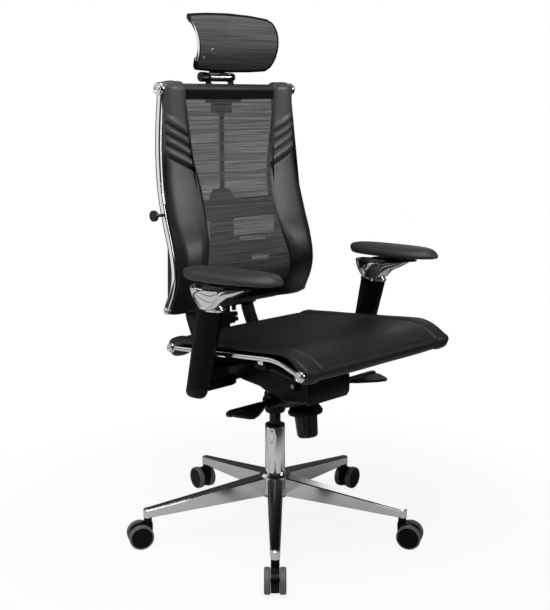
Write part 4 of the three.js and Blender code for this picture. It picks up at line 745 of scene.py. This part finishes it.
def cup_ring(z, inset):
    """One level of the cup: its half sizes grow with the sine of its share of the height, to the
    power 0.9, so that it swells fast above the collar and then stands upright."""
    s = math.sin((z - BRACKET_BASE) / (BRACKET_RIM - BRACKET_BASE) * math.pi / 2) ** 0.9
    return arm_ring(*(CUP_HALF + s * CUP_GROWTH - inset), post_y(BRACKET_BASE) + CUP_SHIFT * s, z, 2.2, 96)


def deck(y):
    """Height of the deck that the pad's plate lies on."""
    return PAD_MIDDLE[1] - math.tan(math.radians(PAD_SLOPE)) * (y - PAD_MIDDLE[0])


def nose_ring(y, half_width, low, drop, shrink=0.0):
    """One section of the nose, square to y: its flat top lies drop below the deck, over a round
    belly."""
    top, low = deck(y) - drop - shrink, low + shrink
    ring = superellipse(half_width - shrink, (top - low) / 2, 3.0, 64, power_v=2.6)
    return np.column_stack([ARM_SPAN + ring[:, 0], np.full(64, y), (top + low) / 2 + ring[:, 1]])


def nose_rows():
    """The nose: sections on straight lines between those of NOSE and the tip, each then moved ten
    times to the mean of itself and its neighbours, with a rounded end at the tip."""
    start = post_y(BRACKET_BASE)
    knots = [(start - ahead, half, BRACKET_BASE + low, drop) for ahead, half, low, drop in NOSE]
    knots = np.array(knots + [(NOSE_TIP, NOSE_TIP_HALF, deck(NOSE_TIP) - NOSE_TIP_DEPTH, 0.0)])
    t = np.linspace(0, len(knots) - 1, 46)
    sections = np.stack([np.interp(t, np.arange(len(knots)), values) for values in knots.T], -1)
    for _ in range(10):
        sections[1:-1] = 0.5 * sections[1:-1] + 0.25 * (sections[:-2] + sections[2:])
    back, tip = sections[0], sections[-1]
    ends = [(back[0] + 0.001, *back[1:], 0.004), (tip[0] - 0.0009, *tip[1:], 0.0012),
            (tip[0] - 0.0015, *tip[1:], 0.0030)]
    return np.array([nose_ring(*section) for section in (ends[0], *sections, *ends[1:])])


def pad_rows():
    """The pad: superellipses in layers, domed on top and rounded under, that narrow to the front
    with the square of the way ahead. A twist, a half sine over the pad's height, lifts its widest
    line at the rear and lowers it at the front. It stands a little clear of the plate."""
    rows = []
    for z, inset in PAD_LAYERS:
        x, y = superellipse(PAD_HALF[0] - inset, PAD_HALF[1] - inset, 2.4, 128).T
        back = y / PAD_HALF[1]
        ahead = np.clip(-back, 0, None)
        twist = PAD_TWIST * math.sin(math.pi * (z - PAD_LOW) / (PAD_HIGH - PAD_LOW)) * back
        rows.append(np.column_stack([x * (1 - PAD_TAPER * ahead ** 2), y + PAD_REACH * ahead ** 2,
                                     z + twist + PAD_CLEAR + PAD_TILT * back]))
    return np.array(rows)


def on_arm(points, side):
    """Points of the left arm, toed in about its foot and, for the right arm, mirrored."""
    c, s = math.cos(math.radians(ARM_TURN)), math.sin(math.radians(ARM_TURN))
    foot = np.array([ARM_SPAN, FOOT_BACK, 0])
    x, y, z = np.moveaxis(points - foot, -1, 0)
    return from_column((np.stack([c * x - s * y, s * x + c * y, z], -1) + foot) * np.array([side, 1, 1]))


def on_deck(points):
    """Points of the pad, measured from the middle of the plate's underside, laid on the deck."""
    c, s = math.cos(math.radians(-PAD_SLOPE)), math.sin(math.radians(-PAD_SLOPE))
    x, y, z = np.moveaxis(points, -1, 0)
    return np.stack([x, c * y - s * z, s * y + c * z], -1) + np.array([ARM_SPAN, *PAD_MIDDLE])


collar = np.array([post_ring(BRACKET_BASE + up, SLEEVE_HALF + SLEEVE_GROWTH + out) for up, out in COLLAR])
cup_outside = [(z, 0.0) for z in np.linspace(BRACKET_BASE + 0.004, BRACKET_RIM, 26)[:-1]]
cup_outside += [(BRACKET_RIM - 0.0006, 0.0002), (BRACKET_RIM, 0.0014)]
cup_inside = [(BRACKET_RIM, 0.0028), (BRACKET_RIM - 0.0006, 0.0038)]
cup_inside += [(z, 0.0040) for z in np.linspace(BRACKET_RIM - 0.003, BRACKET_BASE + 0.016, 16)]
cup = np.array([cup_ring(*level) for level in cup_outside + cup_inside])
# Faces inside the cup, which take the painted shade.
painted_shade_well = np.arange(len(cup) - 1) > len(cup_outside)
nose = nose_rows()
plate = np.array([np.column_stack([superellipse(PLATE_HALF[0] - inset, PLATE_HALF[1] - inset, 4, 64),
                                   np.full(64, z)]) for z, inset in PLATE_LAYERS])
boss = turned_rows(rounded([(AXIS, 0.003), (0.0085, 0.003), (0.0085, 0.0135), (AXIS, 0.0135)], 0.0004, 2),
                   (0, 0, 0), (0, 0, 1), 32)
for side, sign in SIDES:
    dress(powder_black, 0.0014, f"arm_foot_{side}")
    part(f"arm_sleeve_{side}_skin", [skin(on_arm(sleeve_rows(), sign))], sleeve_black,
         f"arm_{side}", "post_plastic", f"arm_sleeve_{side}")
    part(f"arm_bracket_{side}_chrome",
         [skin(on_arm(collar, sign)), skin(on_arm(cup, sign), tags=painted_shade_well), skin(on_arm(nose, sign))],
         [bracket_chrome, bracket_inside], f"arm_{side}", "arm_chrome", f"arm_bracket_{side}")
    part(f"arm_slide_{side}_plate", [skin(on_arm(on_deck(rows), sign)) for rows in (plate, boss)],
         powder_black, f"arm_slide_{side}", "post_plastic", f"arm_slide_{side}")
    pad = part(f"arm_pad_{side}_cushion", [skin(on_arm(on_deck(pad_rows()), sign))], arm_leather,
               f"arm_pad_{side}", "pad_leather", f"arm_pad_{side}", sharp=60)

# Back rails: two flat chromed bars that run down in an S and spread apart, each with a round
# cap and a screw over the top bar.
BACK_TOP, BACK_HEIGHT, BACK_RAIL_DEPTH, BACK_RAIL_WIDTH = 0.781, 0.514, 0.017, 0.005
BACK_CAP, BACK_CAP_HEAD = (0.0155, 0.0100), 0.0078
# Curves as (share of the way down, value): how far back the back lies, and its half width.
BACK_LINE = ((0, .1653), (.18, .1685), (.29, .1663), (.45, .1535), (.6, .1325), (.72, .1125),
             (.83, .1031), (.91, .1105), (.98, .1275), (1.03, .138))
BACK_HALF = ((0, .2115), (.25, .219), (.5, .2275), (1.03, .232))


def through(pairs, at):
    """A smooth curve through (place, value) pairs: cubic between two pairs, with the slope at
    each pair taken from its neighbours."""
    place, value = np.array(pairs, float).T
    ends = np.array([pairs[0], *pairs, pairs[-1]])
    run, rise = (ends[2:] - ends[:-2]).T
    slope = rise / run
    i = np.clip(np.searchsorted(place, at) - 1, 0, len(place) - 2)
    h = place[i + 1] - place[i]
    s = np.clip((at - place[i]) / h, 0, 1)
    return (value[i] * (1 + 2 * s) * (1 - s) ** 2 + value[i + 1] * s * s * (3 - 2 * s)
            + h * s * (1 - s) * (slope[i] * (1 - s) - slope[i + 1] * s))


def down(z):
    """Share of the way from the top bar to the bottom bar."""
    return (BACK_TOP - z) / BACK_HEIGHT


def back_point(share):
    """Where the back's line lies at a share of the way down, in (y, z)."""
    return np.stack([through(BACK_LINE, share), BACK_TOP - BACK_HEIGHT * share], -1)


back_rail_line = back_point(np.linspace(0, 1, 90))
half_depth, half_width = BACK_RAIL_DEPTH / 2, BACK_RAIL_WIDTH / 2
for side, sign in SIDES:
    rail_x = lambda z: sign * (through(BACK_HALF, down(z)) - half_width)
    top_x, foot_x = rail_x(back_rail_line[[0, -1], 1])
    foot = rounded([(AXIS, -half_width), (half_depth, -half_width), (half_depth, half_width),
                    (AXIS, half_width)], 0.001, 3)
    foot = turned_rows(foot, (foot_x, *back_rail_line[-1]), (sign, 0, 0), 40)
    cap = cap_rows(*back_rail_line[0], top_x - sign * half_width, *BACK_CAP, sign, head=BACK_CAP_HEAD)
    bar = side_bar(back_rail_line, half_depth, half_width, rail_x)
    part(f"back_rail_{side}_chrome", column_skins(bar, cap, foot), chrome, "back", "frame_chrome",
         f"back_rail_{side}")
dress(shaft_steel, 0.0006, "back_top_bar", "back_bottom_bar")

# Side panels: a leather pad along each rail that rolls round both bars. The upper part is ribbed
# on a slant and perforated, and below the first rib the leather is smooth.
# The half width of the mesh between the panels, as (share of the way down, value).
MESH_HALF = ((0, .142), (.1, .141), (.26, .128), (.42, .111), (.54, .108), (.68, .116),
             (.83, .134), (.95, .128), (1.03, .118))
PANEL_THICK, TOP_ROLL, BOTTOM_ROLL = 0.016, 0.019, 0.01275
PANEL_EDGES, PANEL_EDGE_DEPTH = (0.0110, 0.0260), 0.0066
GROOVES, RIB_PITCH, RIB_SLANT, PANEL_MIDDLE = (0.6894, 0.6654, 0.6415, 0.6166), 0.0243, 0.45, 0.175
GROOVE_DEPTH, GROOVE_WIDTH, RIB_SWELL, PANEL_CROWN = 0.0056, 0.0034, 0.0020, 0.0036
LUMBAR_SWELL, LUMBAR_PLACE, LUMBAR_REACH = 0.0054, 0.72, 0.105


def panel_outline():
    """A side panel's outline: down the front, round the bottom bar, up the rear and round the top
    bar. Its front lies one roll's radius ahead of the line of the back, and over the lowest fifth
    that radius shrinks in a smooth step."""
    share = np.linspace(0.0, 1.0, 200)
    line = back_point(share)
    s = np.clip((share - 0.8) / 0.2, 0, 1)
    roll = TOP_ROLL + (BOTTOM_ROLL - TOP_ROLL) * s * s * (3 - 2 * s)
    set_back = lambda by: line + np.stack([by - roll, 0 * roll], -1)
    keep = ((line[:, 1] < line[0, 1] - 0.024) & (line[:, 1] > line[-1, 1] + 0.016))[::-1]
    middle = set_back(PANEL_THICK / 2)
    return sling_outline([(set_back(0), middle), (arc(line[-1], BOTTOM_ROLL, 183, 392, 34), line[-1]),
                          (set_back(PANEL_THICK)[::-1][keep], middle[::-1][keep]),
                          (arc(line[0], TOP_ROLL, -38, 178, 40), line[0])], 14, 520)


def slant(x, z):
    """Height of a point measured along the slant of the ribs."""
    return z - RIB_SLANT * (np.abs(x) - PANEL_MIDDLE)


def panel_dent(x, y, z):
    """Outward move: at the top, bell-shaped grooves between ribs that bulge as half sines. All over,
    a parabola across the pad, a bell of fuller padding at lumbar height, and slow dimples."""
    q, share = slant(x, z), down(z)
    ahead = np.clip((through(BACK_LINE, np.clip(share, 0, 1)) - y) / 0.006, 0, 1)
    groove = sum(np.exp(-((q - place) / GROOVE_WIDTH) ** 2) for place in GROOVES)
    rib = np.clip((q - GROOVES[-1]) / 0.003, 0, 1) * np.clip((GROOVES[0] + 0.024 - q) / 0.006, 0, 1)
    swell = RIB_SWELL * np.abs(np.sin((q - GROOVES[-1]) / RIB_PITCH * np.pi)) * rib
    slow = DIMPLE * np.sin(x * 37 + 1.3 * np.sin(z * 19)) * np.sin(z * 21 + 0.4)
    inner, outer = through(MESH_HALF, share), through(BACK_HALF, share)
    s = (2 * np.abs(x) - outer - inner) / (outer - inner)
    crown = PANEL_CROWN * (1 - s * s) + 0.0012 * s - 0.0020
    lumbar = LUMBAR_SWELL * np.exp(-((share - LUMBAR_PLACE) / LUMBAR_REACH) ** 2)
    lumbar = lumbar * np.clip(1.15 - s * s, 0, 1)
    return (swell - GROOVE_DEPTH * groove + crown + lumbar) * ahead + slow - 0.0005


def above_last_groove(across, along):
    """Mask of where the panel is perforated: its UV is 0 below the slanting line of the last groove."""
    return math_node("GREATER_THAN", along, 0.5)


panel_leather = leather("panel_leather", (0.011, 0.011, 0.0114), 0.345, depth=0.12, pitch=0.0054, hole=0.28,
                        punched_zone=above_last_groove, lift=12.0)
for side, sign in SIDES:
    inner = lambda z: sign * (through(MESH_HALF, down(z)) + TOUCH)
    outer = lambda z: sign * (through(BACK_HALF, down(z)) - BACK_RAIL_WIDTH - 0.0013)
    rows, uv = cushion_rows(*panel_outline(), inner, outer, PANEL_EDGES, PANEL_EDGE_DEPTH, panel_dent, 40)
    x, z = rows[..., 0], rows[..., 2]
    uv[..., 1] = np.where(slant(x, z) > GROOVES[-1] - 0.001, z, 0)
    cushion(f"side_panel_{side}_cushion", rows, uv, panel_leather, "back", "panel_leather",
            f"side_panel_{side}")

# Back mesh: black elastic mesh stretched between the side panels and over both bars, where it
# lies double in a closed hem.
MESH_LEAD, MESH_BOW, MESH_SPARE = 0.0113, 0.006, 0.0062
MESH_PITCH = 0.0022                  # two threads
THREAD_CHANGE = 3.0                  # how much lighter one run of threads is than the next
RUN_SCALE = (6, 3, 520)              # runs are long and level


def mesh_cloth(name, colour, cover, streak):
    """Woven mesh: fine threads each way with see-through gaps, crossed by level streaks. cover is
    how much of it is thread, and streak how much that changes from one run to the next."""
    material, tree, shader = node_material(name)
    split = new_node(tree, "SeparateXYZ", {"Vector": texture_place(tree)}).outputs
    across, up = (math_node("SINE", Signal(split[axis]) * (2 * math.pi / MESH_PITCH)) for axis in "XZ")
    weave = across * up
    uneven = noise(tree, texture_place(tree, RUN_SCALE), 1.0) - 0.5
    feed(shader, {"Alpha": weave * 0.10 + cover + uneven * streak, "Roughness": 0.55,
                  "Base Color": scaled_colour(tree, colour, weave * 0.35 + (uneven * THREAD_CHANGE + 1.0))})
    bumped(tree, shader, weave, 0.5, 0.0003)
    return material


back_mesh_cloth = mesh_cloth("back_mesh_cloth", (0.062, 0.062, 0.063), 0.940, streak=0.60)
# The rolled hem and the flap under it are one fabric in two tones: the hem is painted paler, painted light
# where the top lamp falls on it, and the flap much darker, painted shade under the roll.
hem_cloth_painted_light = hard_finish("hem_cloth_painted_light", (0.050, 0.050, 0.051), 0.45, size=40, bump=0.6, specular=0.3)
flap_cloth_painted_shade = hard_finish("flap_cloth_painted_shade", (0.006, 0.006, 0.0062), 0.5, size=40, bump=0.6, specular=0.05)


def cloth_skin(rows, tags=None):
    """One open sheet from rows that are measured from the column."""
    return skin(from_column(rows), closed=False, ends=False, tags=tags)


def mesh_rows(first, last, count, ahead=0.0):
    """The mesh as a grid of points between two shares of the way down. It bows forward between
    the bars in a half sine, and each edge runs a little into its seam."""
    share = np.linspace(first, last, count)
    y, z = back_point(share).T
    rows = np.zeros((count, 60, 3))
    rows[..., 0] = np.linspace(-1, 1, 60) * (through(MESH_HALF, share) + MESH_SPARE)[:, None]
    rows[..., 1] = (y - MESH_LEAD - MESH_BOW * np.sin(np.pi * share) - ahead)[:, None]
    rows[..., 2] = z[:, None]
    return rows


back_mesh = part("back_mesh_sheet", [cloth_skin(mesh_rows(0.0, 1.0, 150))], back_mesh_cloth, "back",
                 "back_mesh", "back_mesh")
for number, share, flap in ((1, 0.0, (0.0, 0.047)), (2, 1.0, (0.95, 1.0))):
    half = through(MESH_HALF, share) - TOUCH
    profile = rounded([(0.0098, -half), (0.0124, -half), (0.0124, half), (0.0098, half)], 0.0005, 3)
    rolled = skin(from_column(turned_rows(profile, (0, *back_point(share)), (1, 0, 0), 48)), ends=False)
    flap_skin = cloth_skin(mesh_rows(*flap, 12, ahead=0.0008), tags=np.ones(11, int))
    part(f"back_mesh_hem_{number}", [rolled, flap_skin], [hem_cloth_painted_light, flap_cloth_painted_shade], "back", "back_mesh")

# Spine: a moulded plate behind the lumbar beam on two struts, with a rod up to the saddle that
# carries the headrest. Chromed rings close both ends of the rod.
ROD_BEHIND, ROD_ENDS = 0.191, (0.5363, 0.7182)
spine_black = hard_finish("spine_black", DARK, 0.38, size=14, bump=0.4, specular=0.3)
dress(spine_black, 0.0014, "spine_plate", "lumbar_beam", "upper_spine")
ring = rounded([(0.0062, 0), (0.0082, 0), (0.0082, 0.0046), (0.0062, 0.0046)], 0.0009)
rings = [from_column(turned_rows(ring, (0, ROD_BEHIND, z), (0, 0, 1), 40)) for z in ROD_ENDS]
part("rod_rings", [skin(rows, ends=False) for rows in rings], chrome, "back", "frame_chrome")
dress(powder_black, 0.0012, "back_strut_left", "back_strut_right")
dress(moulded_black, 0.0008, "lumbar_knob", "headrest_lower_knob", "headrest_upper_knob", angle=24)

# Headrest: a chromed pivot tube, a black link, and a curved hoop with mesh stretched across it.
# The hoop's two outer flanks are chromed.
HEAD_RADIUS, HEAD_MIDDLE, HEAD_TOP, HEAD_BOTTOM, HOOP_FLANK = 0.069, (0.189, 0.886), 0.064, 0.060, 0.118
HEAD_TOP_HALF, HEAD_BOTTOM_HALF, HEAD_RIM, TOP_CROWN, BOTTOM_CROWN = 0.134, 0.120, 0.0038, 0.008, 0.005
SCREW_PLACES = ((-0.084, -0.016), (-0.105, -0.034))
dress(chrome, 0.0006, "headrest_tube")
dress(powder_black, 0.0008, "headrest_link", "headrest_frame")
hoop = node["headrest_frame"].data
hoop.materials.append(chrome)
middles, normals = np.empty((2, len(hoop.polygons), 3), np.float32)
hoop.polygons.foreach_get("center", middles.reshape(-1))
hoop.polygons.foreach_get("normal", normals.reshape(-1))
out, facing = middles[:, 0] - column_x, normals[:, 0]
flanks = (np.abs(facing) > 0.8) & (np.abs(out) > HOOP_FLANK) & (facing * out > 0)
hoop.polygons.foreach_set("material_index", flanks.astype(np.int32))
head_cloth = mesh_cloth("head_cloth", (0.088, 0.087, 0.087), 1.5, streak=1.9)


def head_rows(radius, inset):
    """The headrest's curved face: an arc about a level axis that widens evenly upwards. Its top and
    bottom edges are crowned by a parabola. inset draws all four edges in."""
    u = np.linspace(-1, 1, 60)
    low, top = math.asin((inset - HEAD_BOTTOM) / HEAD_RADIUS), math.asin((HEAD_TOP - inset) / HEAD_RADIUS)
    angle = np.linspace(low, top, 40)[:, None]
    z = radius * np.sin(angle) * np.ones_like(u)
    rise = 1 + (1 - u * u) * np.where(z > 0, TOP_CROWN / HEAD_TOP, BOTTOM_CROWN / HEAD_BOTTOM)
    widening = (HEAD_TOP_HALF - HEAD_BOTTOM_HALF) / (HEAD_TOP + HEAD_BOTTOM)
    x = u * (HEAD_BOTTOM_HALF + widening * (z + HEAD_BOTTOM) - inset)
    return np.stack([x, HEAD_MIDDLE[0] - radius * np.cos(angle) + 0 * u, HEAD_MIDDLE[1] + z * rise], -1)


head_mesh = part("headrest_mesh_sheet", [cloth_skin(head_rows(HEAD_RADIUS - 0.001, HEAD_RIM))], head_cloth,
                 "headrest", "head_mesh", "headrest_mesh")
screw = rounded([(AXIS, 0.0014), (0.0026, 0.0011), (0.0036, 0.0), (0.0036, -0.0008)], 0.0004, 3)
screws = []
for x, z in SCREW_PLACES:
    y = -math.sqrt((HEAD_RADIUS - 0.001) ** 2 - z * z)
    screws.append(turned_rows(screw, (x, HEAD_MIDDLE[0] + y, HEAD_MIDDLE[1] + z), (0, y, z), 24))
part("headrest_screws", column_skins(*screws), chrome, "headrest", "frame_chrome")
